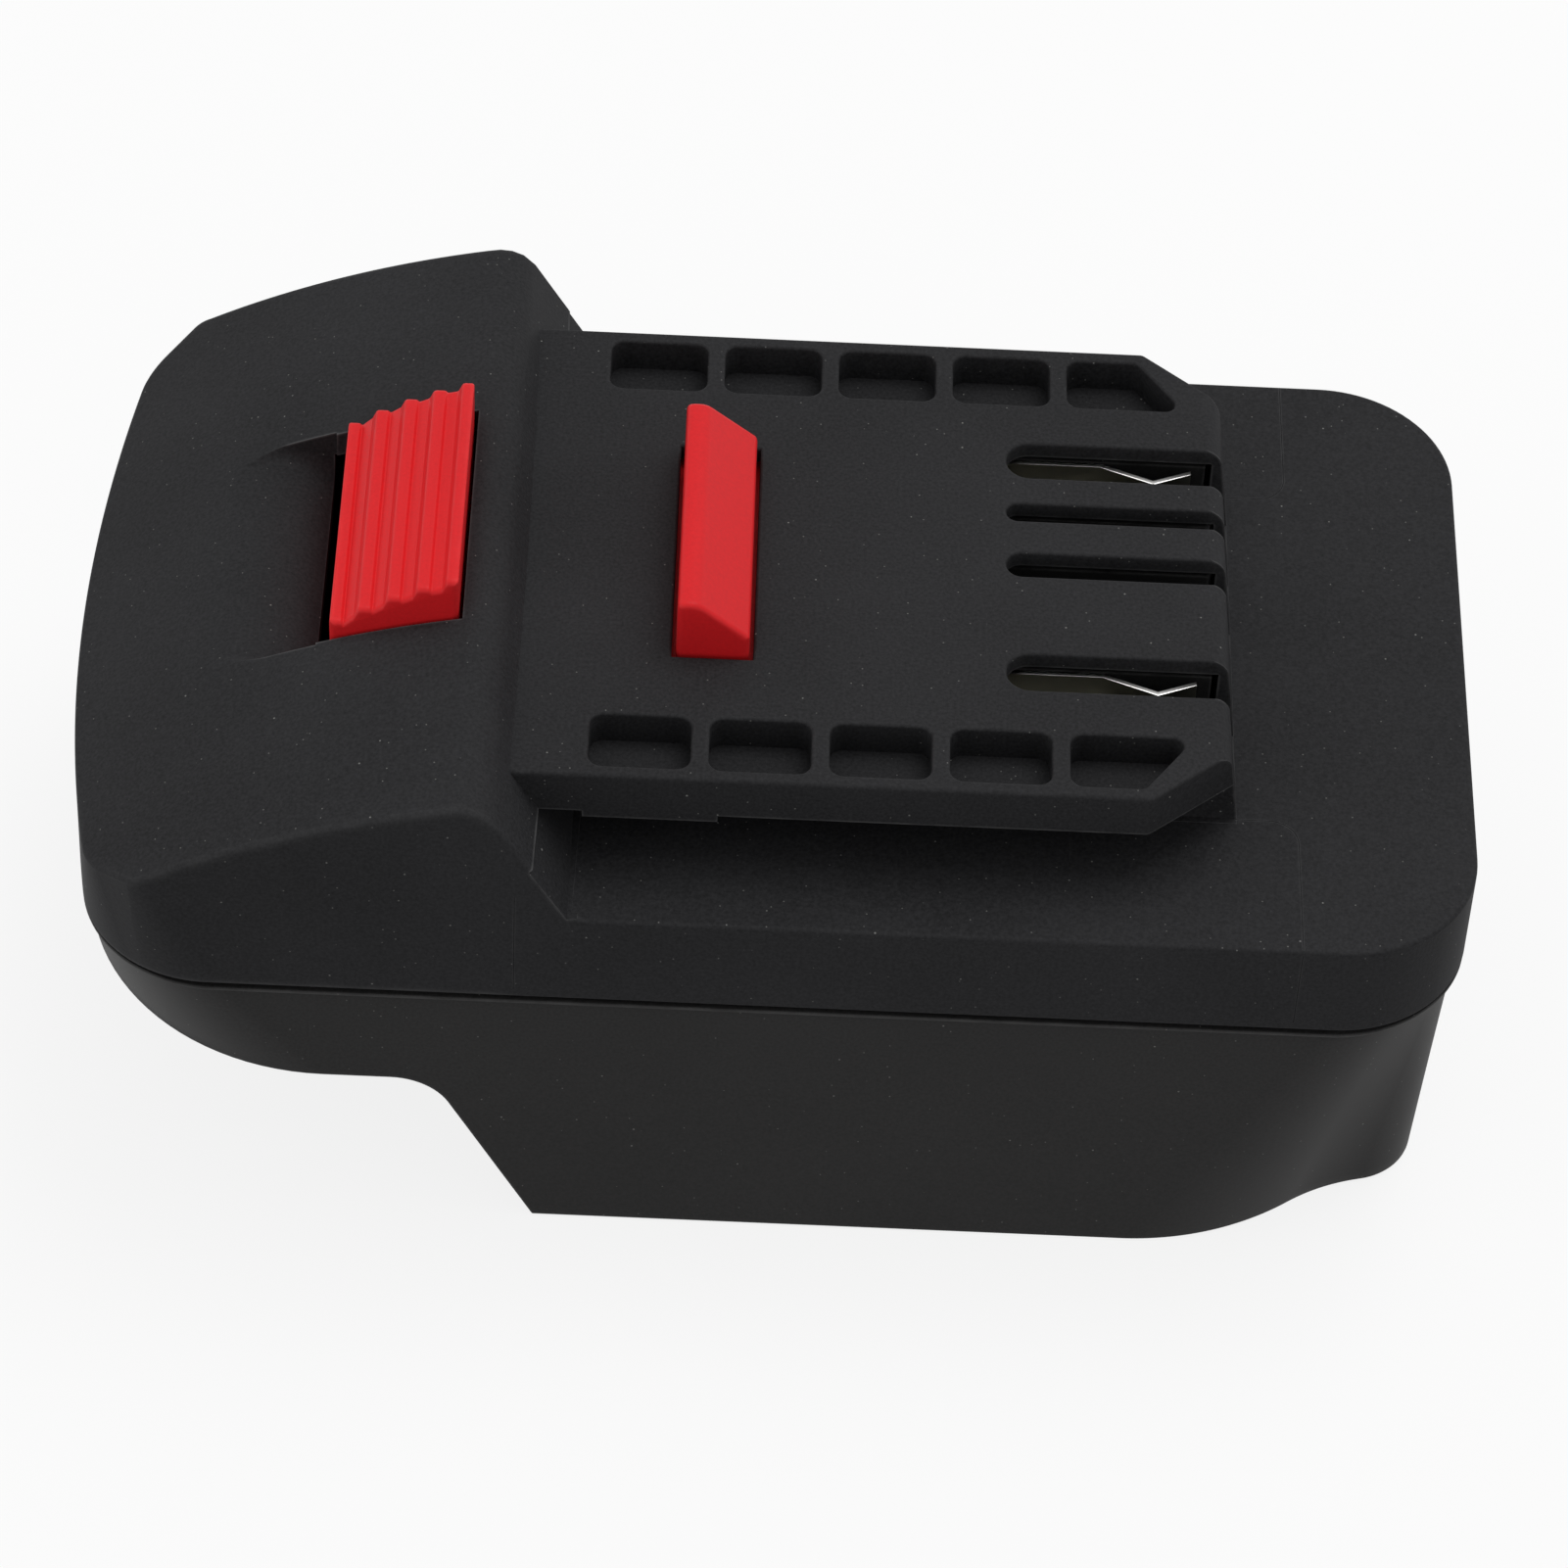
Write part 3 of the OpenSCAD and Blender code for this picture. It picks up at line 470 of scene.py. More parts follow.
def foot_corner():
    """Rear corner at the foot rim: a small corner, the grip hollow and the wide turn into the side"""
    lean = GRIP_TURN - HOLLOW_TURN

    def reach(r, turn):
        return Vector((r * math.cos(math.radians(turn)), r * math.sin(math.radians(turn))))

    c1 = Vector((0, RIM_W - GRIP_R))
    c2 = c1 + reach(GRIP_R + HOLLOW_R, 90 - GRIP_TURN)
    c3 = c2 - reach(HOLLOW_R + FOOT_CORNER_R, 90 - lean)
    shift = Vector((RIM_X1 - c3.x - FOOT_CORNER_R, 0))
    small = arc(c3 + shift, FOOT_CORNER_R, 0, 90 - lean, FOOT_STEPS)
    hollow = arc(c2 + shift, HOLLOW_R, 270 - lean, 270 - GRIP_TURN, HOLLOW_STEPS, hollow=True)
    wide = arc(c1 + shift, GRIP_R, 90 - GRIP_TURN, 90, FOOT_STEPS)
    return small + hollow[1:] + wide[1:]


def mix_outlines(a, b, t):
    return [(p.lerp(q, t), m.lerp(n, t).normalized()) for (p, m), (q, n) in zip(a, b)]


def skirt(z):
    """Outline of the lower housing at a height"""
    up = z / SEAM_Z
    foot = foot_corner()
    rear = mix_outlines(foot, rear_corner(SEAM_STEP, len(foot) - 1), up)
    w = RIM_W + SIDE_DRAFT * up
    chin = front_end(w + SEAM_STEP, CHIN_CORNER_R + SEAM_STEP, SEAM_STEP)
    brow = front_end(HALF_W, FRONT_CORNER_R, SEAM_STEP)
    front = mix_outlines(chin, brow, max(0.0, (z - ROOF_Z) / (SEAM_Z - ROOF_Z)))
    return rear + front + mirrored(rear)


def shifted(outline, out, z):
    return [(p.x + n.x * out, p.y + n.y * out, z) for p, n in outline]


def bands(count, pairs):
    """Faces between pairs of rings that have the same number of points"""
    made = []
    for k, m in pairs:
        for i in range(count):
            j = (i + 1) % count
            made.append([k * count + i, k * count + j, m * count + j, m * count + i])
    return made


def loft(name, rings):
    """Closed solid from stacked rings"""
    count = len(rings[0])
    points = [p for ring in rings for p in ring]
    ends = [list(range(count)), list(range(len(points) - count, len(points)))]
    return solid(name, points, ends + bands(count, [(k, k + 1) for k in range(len(rings) - 1)]))


def rect(x0, x1, y0, y1):
    return [Vector(c) for c in ((x0, y0), (x1, y0), (x1, y1), (x0, y1))]


def block(name, foot, heights, side=1):
    """Upright solid between two heights, on one side of the part or the other"""
    return loft(name, [[(p.x, side * p.y, z) for p in foot] for z in heights])


def quarter(count=EDGE_STEPS):
    """Sine and cosine along a quarter turn"""
    return [(math.sin(k * math.pi / 2 / count), math.cos(k * math.pi / 2 / count)) for k in range(count + 1)]


# Nose surface

def nose_parts():
    """Centres of the long arc and the ridge, and where the ridge meets the arc and the rear slope"""
    lean = math.radians(NOSE_REAR_ANGLE)
    n = Vector((math.sin(lean), math.cos(lean)))
    t = Vector((n.y, -n.x))
    centre = NOSE_PEAK - Vector((0, NOSE_ARC_R))
    d = n.dot(Vector((RAIL_X0, RAIL_Z)))
    reach = math.sqrt((NOSE_ARC_R - RIDGE_R) ** 2 - (d - RIDGE_R - n.dot(centre)) ** 2)
    ridge = n * (d - RIDGE_R) + t * (t.dot(centre) - reach)
    return centre, ridge, ridge + (ridge - centre).normalized() * RIDGE_R, ridge + n * RIDGE_R


NOSE_CENTRE, NOSE_RIDGE, NOSE_JOIN, NOSE_BEND = nose_parts()
NOSE_SLOPE = math.tan(math.radians(NOSE_REAR_ANGLE))
CROWN_Z = NOSE_PEAK.y - NOSE_CROWN_R


def nose_height(x):
    """Height of the nose along its middle"""
    if x <= NOSE_JOIN.x:
        return NOSE_CENTRE.y + math.sqrt(NOSE_ARC_R ** 2 - (x - NOSE_CENTRE.x) ** 2)
    if x <= NOSE_BEND.x:
        return NOSE_RIDGE.y + math.sqrt(RIDGE_R ** 2 - (x - NOSE_RIDGE.x) ** 2)
    return NOSE_BEND.y - (x - NOSE_BEND.x) * NOSE_SLOPE


def crowned(height, y):
    return CROWN_Z + math.sqrt((height - CROWN_Z) ** 2 - y * y)


def foot_x(y):
    """Place where the nose's rear slope meets the deck"""
    height = CROWN_Z + math.hypot(DECK_Z - CROWN_Z, y)
    return NOSE_BEND.x + (NOSE_BEND.y - height) / NOSE_SLOPE


def top_z(p):
    z = crowned(nose_height(p.x), p.y) if p.x < foot_x(p.y) else DECK_Z
    return z - SKIN


def crease_r(p, n):
    """Rounding of the top edge: small on the deck, wider on the nose"""
    on_nose = min(1.0, max(0.0, (foot_x(p.y) - p.x) / CREASE_FADE))
    ahead = max(0.0, -n.x)
    nose_r = CREASE_R + (FRONT_CREASE_R - CREASE_R) * ahead
    return DECK_EDGE_R + (nose_r - DECK_EDGE_R) * on_nose


def shell_column(seam_point, brow_point):
    """Points up the outside of the upper housing, from a place on the seam to its place on the brow"""
    foot, foot_n = seam_point
    foot = foot - foot_n * SKIN
    p, n = brow_point
    p = p - n * SKIN
    r = crease_r(p, n)
    h = top_z(p)
    along = Vector((-n.y, n.x)) * SLOPE_STEP
    inner = p - n * SLOPE_NUDGE
    rise = math.atan((top_z(p - n * SLOPE_STEP) - h) / SLOPE_STEP)
    tilt = (top_z(inner + along) - top_z(inner - along)) / (2 * SLOPE_STEP)
    stretch = math.hypot(1, tilt)
    turn = math.pi / 2 - rise
    drop = r * math.tan(turn / 2)
    low = [(SEAM_INSET, SEAM_Z - SEAM_DEPTH), (SEAM_INSET, SEAM_Z + SKIN)]
    for s, c in quarter(SMALL_STEPS):
        low.append((SEAM_EDGE_R * (1 - s), SEAM_Z + SKIN + SEAM_EDGE_R * (1 - c)))
    high = []
    for k in range(CREASE_STEPS + 1):
        beta = turn * k / CREASE_STEPS
        high.append((r * (1 - math.cos(beta)), h - stretch * drop + stretch * r * math.sin(beta)))
    made = [(foot.x - foot_n.x * s, foot.y - foot_n.y * s, z) for s, z in low]
    return made + [(p.x - n.x * s, p.y - n.y * s, z) for s, z in high]


def shell_body():
    """Outer form of the upper housing without its rail"""
    outline = plan_outline(brow_end())
    seam = plan_outline(front_end(HALF_W, FRONT_CORNER_R, 0))
    columns = [shell_column(*pair) for pair in zip(seam, outline)]
    tall = len(columns[0])
    count = len(columns)
    points = [q for column in columns for q in column]
    faces = [[i * tall for i in range(count)]]
    for i in range(count):
        j = (i + 1) % count
        for k in range(tall - 1):
            faces.append([i * tall + k, j * tall + k, j * tall + k + 1, i * tall + k + 1])
    edge = [Vector(column[-1][:2]) for column in columns]
    inner = [p - n * (crease_r(p, n) + GRID_GAP) for p, n in outline]
    grid = [p for p in nose_grid() if inside(p, inner)]
    ring = [(i, (i + 1) % count) for i in range(count)]
    flat, _, tops, origin, _, _ = delaunay_2d_cdt(edge + grid, ring, [], 1, GRID_TOLERANCE)
    index = []
    for p, sources in zip(flat, origin):
        if sources and min(sources) < count:
            index.append(min(sources) * tall + tall - 1)
        else:
            index.append(len(points))
            points.append((p.x, p.y, top_z(p)))
    faces += [[index[i] for i in face] for face in tops]
    return solid("shell_body", points, faces)


def nose_grid():
    """Points on the nose, closer together at its ridge"""
    front = [-HALF_L + GRID_X * k for k in range(math.ceil((NOSE_JOIN.x - RIDGE_GAP + HALF_L) / GRID_X))]
    ridge = [NOSE_JOIN.x + (NOSE_BEND.x - NOSE_JOIN.x) * k / RIDGE_STEPS for k in range(RIDGE_STEPS + 1)]
    made = []
    for row in range(-GRID_ROWS, GRID_ROWS + 1):
        y = row * GRID_Y
        slope = foot_x(y) - NOSE_BEND.x
        rear = [NOSE_BEND.x + slope * k / REAR_STEPS for k in range(1, REAR_STEPS + 1)]
        made += [Vector((x, y)) for x in front + ridge + rear]
    return made


def inside(p, ring):
    """Whether a point is inside a closed outline"""
    hit = False
    for k, a in enumerate(ring):
        b = ring[k - 1]
        if (a.y > p.y) != (b.y > p.y) and p.x < (b.x - a.x) * (p.y - a.y) / (b.y - a.y) + a.x:
            hit = not hit
    return hit


# Rail plate

def rounded(corners, radii, steps=ROUND_STEPS):
    """Outline with round corners from a convex anticlockwise polygon"""
    made = []
    for k, corner in enumerate(corners):
        before = (corners[k - 1] - corner).normalized()
        after = (corners[(k + 1) % len(corners)] - corner).normalized()
        half = before.angle(after) / 2
        r = radii[k]
        centre = corner + (before + after).normalized() * (r / math.sin(half))
        start = math.degrees(math.atan2(before.x, -before.y))
        sweep = 180 - 2 * math.degrees(half)
        made += arc(centre, r, start, start + sweep, steps)
    return made


def rail_corners(past):
    """Corners of the rail's outline, anticlockwise, with its end moved out along the cut corners"""
    w = RAIL_W / 2
    slope = RAIL_CUT.y / RAIL_CUT.x
    x = RAIL_X1 + past
    y = w - RAIL_CUT.y - past * slope
    back = RAIL_X0 - RAIL_BACK
    cut = RAIL_X1 - RAIL_CUT.x
    return [Vector(c) for c in ((back, -w), (cut, -w), (x, -y), (x, y), (cut, w), (back, w))]


def rail_body():
    """Form that keeps the rail plate, with round upper edges, and the neck below it"""
    outline = rounded(rail_corners(END_ROOM), [RAIL_CORNER_R] * 6)
    top = RAIL_Z - SKIN
    rings = [shifted(outline, -SKIN, RAIL_Z - RAIL_T - HEEL_ROOM)]
    for s, c in quarter():
        rings.append(shifted(outline, -SKIN - RAIL_EDGE_R * (1 - c), top - RAIL_EDGE_R * (1 - s)))
    plate = loft("rail_body", rings)
    w = NECK_W / 2 + NECK_ROOM
    foot = rect(RAIL_X0 - LAP, RAIL_X1 + RAIL_END_LEAN + SKIN, -w, w)
    combine(plate, block("neck_body", foot, (DECK_Z - 2 * LAP, RAIL_Z - RAIL_T + LAP)), "UNION")
    return plate


# Rims of the pockets and slots

def rim_cutter(name, outline, z, r):
    """Solid that rounds the upper edge of a hole with the given outline"""
    rings = [shifted(outline, -RIM_FOOT_IN, z - r - RIM_FOOT_H), shifted(outline, -RIM_IN, z - r)]
    for s, c in quarter():
        rings.append(shifted(outline, r * (1 - c), z - r * (1 - s) + RIM_LIFT * s))
    rings.append(shifted(outline, r, z + LAP))
    return loft(name, rings)


def pocket_outlines(slanted_r=LAST_POCKET_R):
    last = RAIL_X1 - POCKET_END_GAP
    y1 = RAIL_W / 2 - POCKET_EDGE
    y0 = y1 - POCKET_W
    made = []
    for k in range(1, POCKET_N):
        x = last - k * POCKET_PITCH
        made.append(rounded(rect(x - POCKET_L / 2, x + POCKET_L / 2, y0, y1), [POCKET_R] * 4))
    x0 = last - POCKET_L / 2
    x1 = x0 + LAST_POCKET_L
    slanted = [Vector(c) for c in ((x0, y0), (x1, y0), (x1 - LAST_POCKET_SLANT, y1), (x0, y1))]
    made.append(rounded(slanted, [POCKET_R, slanted_r, slanted_r, POCKET_R]))
    return made + [mirrored(outline) for outline in made]


def last_pockets(name, corner_r, out, z0, z1):
    """The two slanted pockets as solids, grown outwards by the given amount"""
    outlines = pocket_outlines(corner_r)[POCKET_N - 1::POCKET_N]
    made = []
    for k, outline in enumerate(outlines):
        made.append(loft(f"{name}_{k}", [shifted(outline, out, z) for z in (z0, z1)]))
    return joined(made)


def slot_outlines():
    made = []
    x0 = RAIL_X1 - SLOT_L
    for position, w in SLOT_WIDTHS.items():
        y = position * SLOT_PITCH
        corners = rect(x0, RAIL_X1 + END_ROOM, y - w / 2, y + w / 2)
        r = w / 2 - SLOT_ARC_GAP
        made.append(rounded(corners, [r, SLOT_MOUTH_R, SLOT_MOUTH_R, r], SLOT_ARC_STEPS))
    return made


def tongue_slot_outline():
    w = TONGUE_W / 2 + TONGUE_FIT
    corners = rect(TONGUE_X0 - TONGUE_FIT, TONGUE_X0 + TONGUE_L + TONGUE_FIT, -w, w)
    return rounded(corners, [TONGUE_SLOT_R] * 4)


def brow_ring():
    """Thin wall that fills out the front corners above the seam"""
    outer = plan_outline(brow_end())
    inner = plan_outline(front_end(HALF_W, FRONT_CORNER_R, 0))
    z0 = SEAM_Z + SEAM_EDGE_R
    z1 = NOSE_PEAK.y
    ring = loft("brow_ring", [shifted(outer, -SKIN / 2, z) for z in (z0, z1)])
    core = loft("brow_core", [shifted(inner, -BROW_DEPTH, z) for z in (z0 - LAP, z1 + LAP)])
    combine(ring, core, "DIFFERENCE")
    return ring


def slide_recess(side):
    """Step in the nose's rear slope at the end of the rail groove"""
    z1 = RAIL_Z - RAIL_T
    z0 = DECK_Z + RECESS_LIFT
    x1 = NOSE_BEND.x + (NOSE_BEND.y - z1) / NOSE_SLOPE - RECESS_D
    x0 = NOSE_BEND.x + (NOSE_BEND.y - z0) / NOSE_SLOPE - RECESS_D
    profile = [(x1, z1), (HEEL_X0, z1), (HEEL_X0, z0), (x0, z0)]
    near = side * (NECK_W / 2 + NECK_ROOM)
    far = side * (HALF_W + LAP)
    return loft(f"recess_{side}", [[(x, y, z) for x, z in profile] for y in (near, far)])


def heel_end(side):
    """Cut that ends the plate's thicker part a little sooner"""
    foot = rect(HEEL_X1, HEEL_X1 + HEEL_CUT_L, NECK_W / 2 + NECK_ROOM, RAIL_W / 2 + LAP)
    return block(f"heel_end_{side}", foot, (RAIL_Z - RAIL_T - HEEL_CUT_H, RAIL_Z - RAIL_T), side)


def line_cutter(name, path, z):
    """Shallow groove in a level face along a path of points with their normals"""
    w = LINE_W / 2
    section = ((w, -LINE_D), (w, LAP), (-w, LAP), (-w, -LINE_D))
    return loft(name, [[(p.x + n.x * s, p.y + n.y * s, z + h) for s, h in section] for p, n in path])


def deck_line(side):
    """Mould line on the deck, from the rail's end round a corner to the deck's edge"""
    centre = (MOULD_LINE_X - MOULD_LINE_R, MOULD_LINE_Y + MOULD_LINE_R)
    bend = arc(centre, MOULD_LINE_R, -90, 0, LINE_STEPS)
    start = (Vector((RAIL_X1 + LAP, MOULD_LINE_Y)), bend[0][1])
    end = (Vector((MOULD_LINE_X, HALF_W + LAP)), bend[-1][1])
    path = [start] + bend + [end]
    if side < 0:
        path = mirrored(path)
    return line_cutter(f"deck_line_{side}", path, DECK_Z - SKIN)


def wall_line(name, x, side, z1):
    """Upright mould line in the side wall"""
    foot = rect(x - LINE_W / 2, x + LINE_W / 2, HALF_W - SKIN - LINE_D, HALF_W + LAP)
    return block(name, foot, (SEAM_Z + LINE_FOOT, z1), side)


def scoop_fill():
    """Block that fills the scoop up again, so that it can be cut with tighter sides"""
    w = SCOOP_W / 2 + SCOOP_FILL
    foot = rect(-HALF_L + SCOOP_FILL_X, BUTTON_X0 - BUTTON_FRONT_FIT - SKIN, -w, w)
    return block("scoop_fill", foot, (SCOOP_Z - SCOOP_FILL, NOSE_PEAK.y))


def scoop_cutter():
    """Trough that deepens from nothing near the front edge to the button slot"""
    w = SCOOP_W / 2
    top = NOSE_PEAK.y + LAP
    end = BUTTON_X0 - BUTTON_FRONT_FIT
    rings = []
    stations = [SCOOP_X0 + (end - SCOOP_X0) * k / SCOOP_STEPS for k in range(SCOOP_STEPS + 1)]
    for x in stations + [end + SLOT_PAST]:
        share = (min(x, end) - SCOOP_X0) / (end - SCOOP_X0)
        z = nose_height(x) + SKIN - SCOOP_D * share ** 2
        floor_arcs = arc((-w + SCOOP_R, z + SCOOP_R), SCOOP_R, 180, 270, SCOOP_ARC_STEPS)
        floor_arcs += arc((w - SCOOP_R, z + SCOOP_R), SCOOP_R, 270, 360, SCOOP_ARC_STEPS)
        rings.append([(x, -w, top)] + [(x, p.x, p.y) for p, _ in floor_arcs] + [(x, w, top)])
    return loft("scoop_cutter", rings)


def upper_shell():
    shell = cad_copy("upper_housing", "upper_shell")
    form = shell_body()
    combine(shell, brow_ring(), "UNION")
    combine(shell, scoop_fill(), "UNION")
    floor_z = RAIL_Z - POCKET_D
    combine(shell, last_pockets("pocket_fill", SHARP_R, POCKET_FILL, floor_z - POCKET_FILL, RAIL_Z), "UNION")
    combine(form, rail_body(), "UNION")
    combine(shell, form, "INTERSECT")
    combine(shell, last_pockets("pocket_cut", LAST_POCKET_R, 0, floor_z, RAIL_Z + LAP), "DIFFERENCE")
    outlines = pocket_outlines() + slot_outlines() + [tongue_slot_outline()]
    rims = [rim_cutter(f"rim_{k}", outline, RAIL_Z - SKIN, RIM_R) for k, outline in enumerate(outlines)]
    combine(shell, joined(rims + [slide_recess(side) for side in SIDES]), "DIFFERENCE")
    combine(shell, joined([heel_end(side) for side in SIDES]), "DIFFERENCE")
    combine(shell, scoop_cutter(), "DIFFERENCE")
    combine(shell, joined([deck_line(side) for side in SIDES]), "DIFFERENCE")
    walls = [wall_line(f"rear_line_{side}", MOULD_LINE_X, side, DECK_Z - DECK_EDGE_R) for side in SIDES]
    walls += [wall_line(f"nose_line_{side}", NOSE_LINE_X, side, NOSE_LINE_Z) for side in SIDES]
    combine(shell, joined(walls), "DIFFERENCE")
    soften(shell)
    return shell


# Lower housing

def seam_lip():
    """Thin bead round the top of the lower housing, just under the seam"""
    outline = skirt(WALL_TOP_Z)
    section = [(LIP_IN, LIP_Z0)]
    for s, c in quarter(SMALL_STEPS):
        section.append((LIP_OUT - LIP_R * (1 - s), LIP_Z0 + LIP_R * (1 - c)))
    for s, c in quarter(SMALL_STEPS):
        section.append((LIP_OUT - LIP_R * (1 - c), LIP_Z1 - LIP_R * (1 - s)))
    section.append((LIP_IN, LIP_Z1))
    points = [p for out, z in section for p in shifted(outline, out, z)]
    count = len(section)
    return solid("seam_lip", points, bands(len(outline), [(k, (k + 1) % count) for k in range(count)]))


def corner_skin():
    """Thin skin round the rear corners, which gives them their full curve"""
    heights = [WALL_TOP_Z * k / WALL_STEPS for k in range(WALL_STEPS + 1)]
    skin = loft("corner_skin", [shifted(skirt(z), 0, z) for z in heights])
    tall = [-LAP] + heights + [WALL_TOP_Z + LAP]
    core = loft("corner_core", [shifted(skirt(z), -CORNER_SKIN, z) for z in tall])
    combine(skin, core, "DIFFERENCE")
    half = rect(CORNER_X0, HALF_L + LAP, -HALF_W - LAP, HALF_W + LAP)
    combine(skin, block("corner_half", half, (-2 * LAP, SEAM_Z)), "INTERSECT")
    return skin


def lower_shell():
    shell = cad_copy("lower_housing", "lower_shell")
    rings = [shifted(skirt(0), -LOWER_SKIN - RIM_EDGE_R, -LAP)]
    for s, c in quarter():
        z = RIM_EDGE_R * (1 - c)
        rings.append(shifted(skirt(z), -LOWER_SKIN - RIM_EDGE_R * (1 - s), z))
    for k in range(1, WALL_STEPS):
        z = RIM_EDGE_R + (WALL_TOP_Z - WALL_EDGE_R - RIM_EDGE_R) * k / WALL_STEPS
        rings.append(shifted(skirt(z), -LOWER_SKIN, z))
    for s, c in quarter(SMALL_STEPS):
        z = WALL_TOP_Z - LOWER_SKIN - WALL_EDGE_R * (1 - s)
        rings.append(shifted(skirt(z), -LOWER_SKIN - WALL_EDGE_R * (1 - c), z))
    rings.append(shifted(skirt(WALL_TOP_Z), -LOWER_SKIN - WALL_EDGE_R, WALL_TOP_Z + INNER_RIM_H))
    combine(shell, corner_skin(), "UNION")
    combine(shell, loft("skirt_form", rings), "INTERSECT")
    combine(shell, seam_lip(), "UNION")
    soften(shell)
    return shell


# Latch

def round_profile(corners, radii):
    """Closed profile whose corners, in or out, are rounded"""
    made = []
    for k, corner in enumerate(corners):
        before = corners[k - 1] - corner
        after = corners[(k + 1) % len(corners)] - corner
        half = before.angle(after) / 2
        room = CORNER_SHARE * min(before.length, after.length)
        reach = min(room, radii[k] / math.tan(half)) if radii[k] else 0
        if reach < LEAST_CORNER:
            made.append(corner)
            continue
        start = corner + before.normalized() * reach
        end = corner + after.normalized() * reach
        for i in range(LATCH_STEPS + 1):
            t = i / LATCH_STEPS
            made.append(start * (1 - t) ** 2 + corner * 2 * t * (1 - t) + end * t ** 2)
    return made


def extruded(name, profile, width):
    """Solid of an XZ profile across a width, with round rims at both ends"""
    x0 = min(p.x for p in profile)
    x1 = max(p.x for p in profile)
    z0 = min(p.y for p in profile)
    r = LATCH_END_R
    sections = [(width / 2 - r * (1 - s), r * (1 - c)) for s, c in quarter(LATCH_STEPS)]
    rings = []
    for y, inset in [(-y, inset) for y, inset in reversed(sections)] + sections:
        xs = [min(max(p.x, x0 + inset), x1 - inset) for p in profile]
        rings.append([(x, y, max(z0, p.y - inset)) for x, p in zip(xs, profile)])
    return loft(name, rings)


def button_profile():
    """Side view of the button: rounded ribs with a shallow rising tread behind each"""
    x1 = BUTTON_X0 + BUTTON_L
    pitch = (BUTTON_L - 2 * RIB_INSET) / (RIB_N - 1)
    base = [(x1, LATCH_CUT_Z), (BUTTON_X0, LATCH_CUT_Z)]
    ribs = []
    for k in range(RIB_N):
        t = k / (RIB_N - 1)
        x = BUTTON_X0 + RIB_INSET + k * pitch
        z = RAIL_Z + BUTTON_FRONT_H + (BUTTON_REAR_H - BUTTON_FRONT_H) * t + 4 * BUTTON_BULGE * t * (1 - t)
        ribs.append((x - RIB_HALF - RIB_FOOT, z - RIB_RISE) if k else (BUTTON_X0, z - BUTTON_LIP))
        ribs += [(x - RIB_HALF, z), (x + RIB_HALF, z)]
        ribs.append((x + RIB_HALF + RIB_TOE, z - RIB_DIP) if k < RIB_N - 1 else (x1, z - BUTTON_LIP))
    return round_profile([Vector(c) for c in base + ribs], [0] * len(base) + [RIB_R] * len(ribs))


def tongue_profile():
    x1 = TONGUE_X0 + TONGUE_L
    corners = [(x1, LATCH_CUT_Z), (TONGUE_X0, LATCH_CUT_Z), (TONGUE_X0, RAIL_Z + TONGUE_H)]
    corners += [(TONGUE_X0 + TONGUE_LAND, RAIL_Z + TONGUE_H), (x1, RAIL_Z + TONGUE_TOE_H)]
    return round_profile([Vector(c) for c in corners], [0, 0, TONGUE_EDGE_R, TONGUE_BEND_R, TONGUE_EDGE_R])


def release_latch():
    latch = cad_copy("release_latch", "latch")
    foot = rect(LATCH_LOW.x - LAP, LATCH_HIGH.x + LAP, LATCH_LOW.y - LAP, LATCH_HIGH.y + LAP)
    combine(latch, block("latch_keep", foot, (LATCH_LOW.z - LAP, LATCH_CUT_Z + LATCH_LAP)), "INTERSECT")
    combine(latch, extruded("button", button_profile(), BUTTON_W - 2 * SKIN), "UNION")
    combine(latch, extruded("tongue", tongue_profile(), TONGUE_W - 2 * SKIN), "UNION")
    soften(latch)
    return latch


def latch_spring(side):
    """Wire helix between the carrier and the latch"""
    node = "latch_spring_left" if side > 0 else "latch_spring_right"
    low, high = box_mm(node)
    middle = (low + high) / 2
    rings = []
    steps = SPRING_TURNS * SPRING_STEPS
    up = Vector((0, 0, 1))
    angles = [2 * math.pi * i / SPRING_SIDES for i in range(SPRING_SIDES)]
    z0 = low.z + SPRING_WIRE_R
    z1 = high.z - SPRING_WIRE_R
    for k in range(steps + 1):
        turn = 2 * math.pi * SPRING_TURNS * k / steps
        out = Vector((math.cos(turn), math.sin(turn), 0))
        at = Vector((middle.x, middle.y, z0 + (z1 - z0) * k / steps)) + out * SPRING_R
        rings.append([at + SPRING_WIRE_R * (out * math.cos(a) + up * math.sin(a)) for a in angles])
    spring = loft(node + "_coil", rings)
    soften(spring)
    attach(spring, "housing")
    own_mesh(spring)
    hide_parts(node)
    return spring


# Looks

def add_node(tree, kind, inputs, **settings):
    """Shader node with its settings, and with values or links on its inputs"""
    node = tree.nodes.new(kind)
    for key, value in settings.items():
        setattr(node, key, value)
    for key, value in inputs.items():
        if isinstance(value, bpy.types.NodeSocket):
            tree.links.new(value, node.inputs[key])
        else:
            node.inputs[key].default_value = value
    return node


def new_material(name):
    material = bpy.data.materials.new(name)
    material.use_nodes = True
    tree = material.node_tree
    return material, tree, tree.nodes["Principled BSDF"]


def places(tree):
    return add_node(tree, "ShaderNodeTexCoord", {}).outputs["Object"]


def noise(tree, place, size, detail=3.0, rough=0.5):
    """Soft pattern from 0 to 1 whose spots have about the given size in millimetres"""
    made = add_node(tree, "ShaderNodeTexNoise", {
        "Vector": place, "Scale": 1 / (size * MM), "Detail": detail, "Roughness": rough
    })
    return made.outputs["Fac"]


def remap(tree, value, low, high, to_low=0.0, to_high=1.0):
    made = add_node(tree, "ShaderNodeMapRange", {
        "Value": value, "From Min": low, "From Max": high, "To Min": to_low, "To Max": to_high
    })
    return made.outputs["Result"]


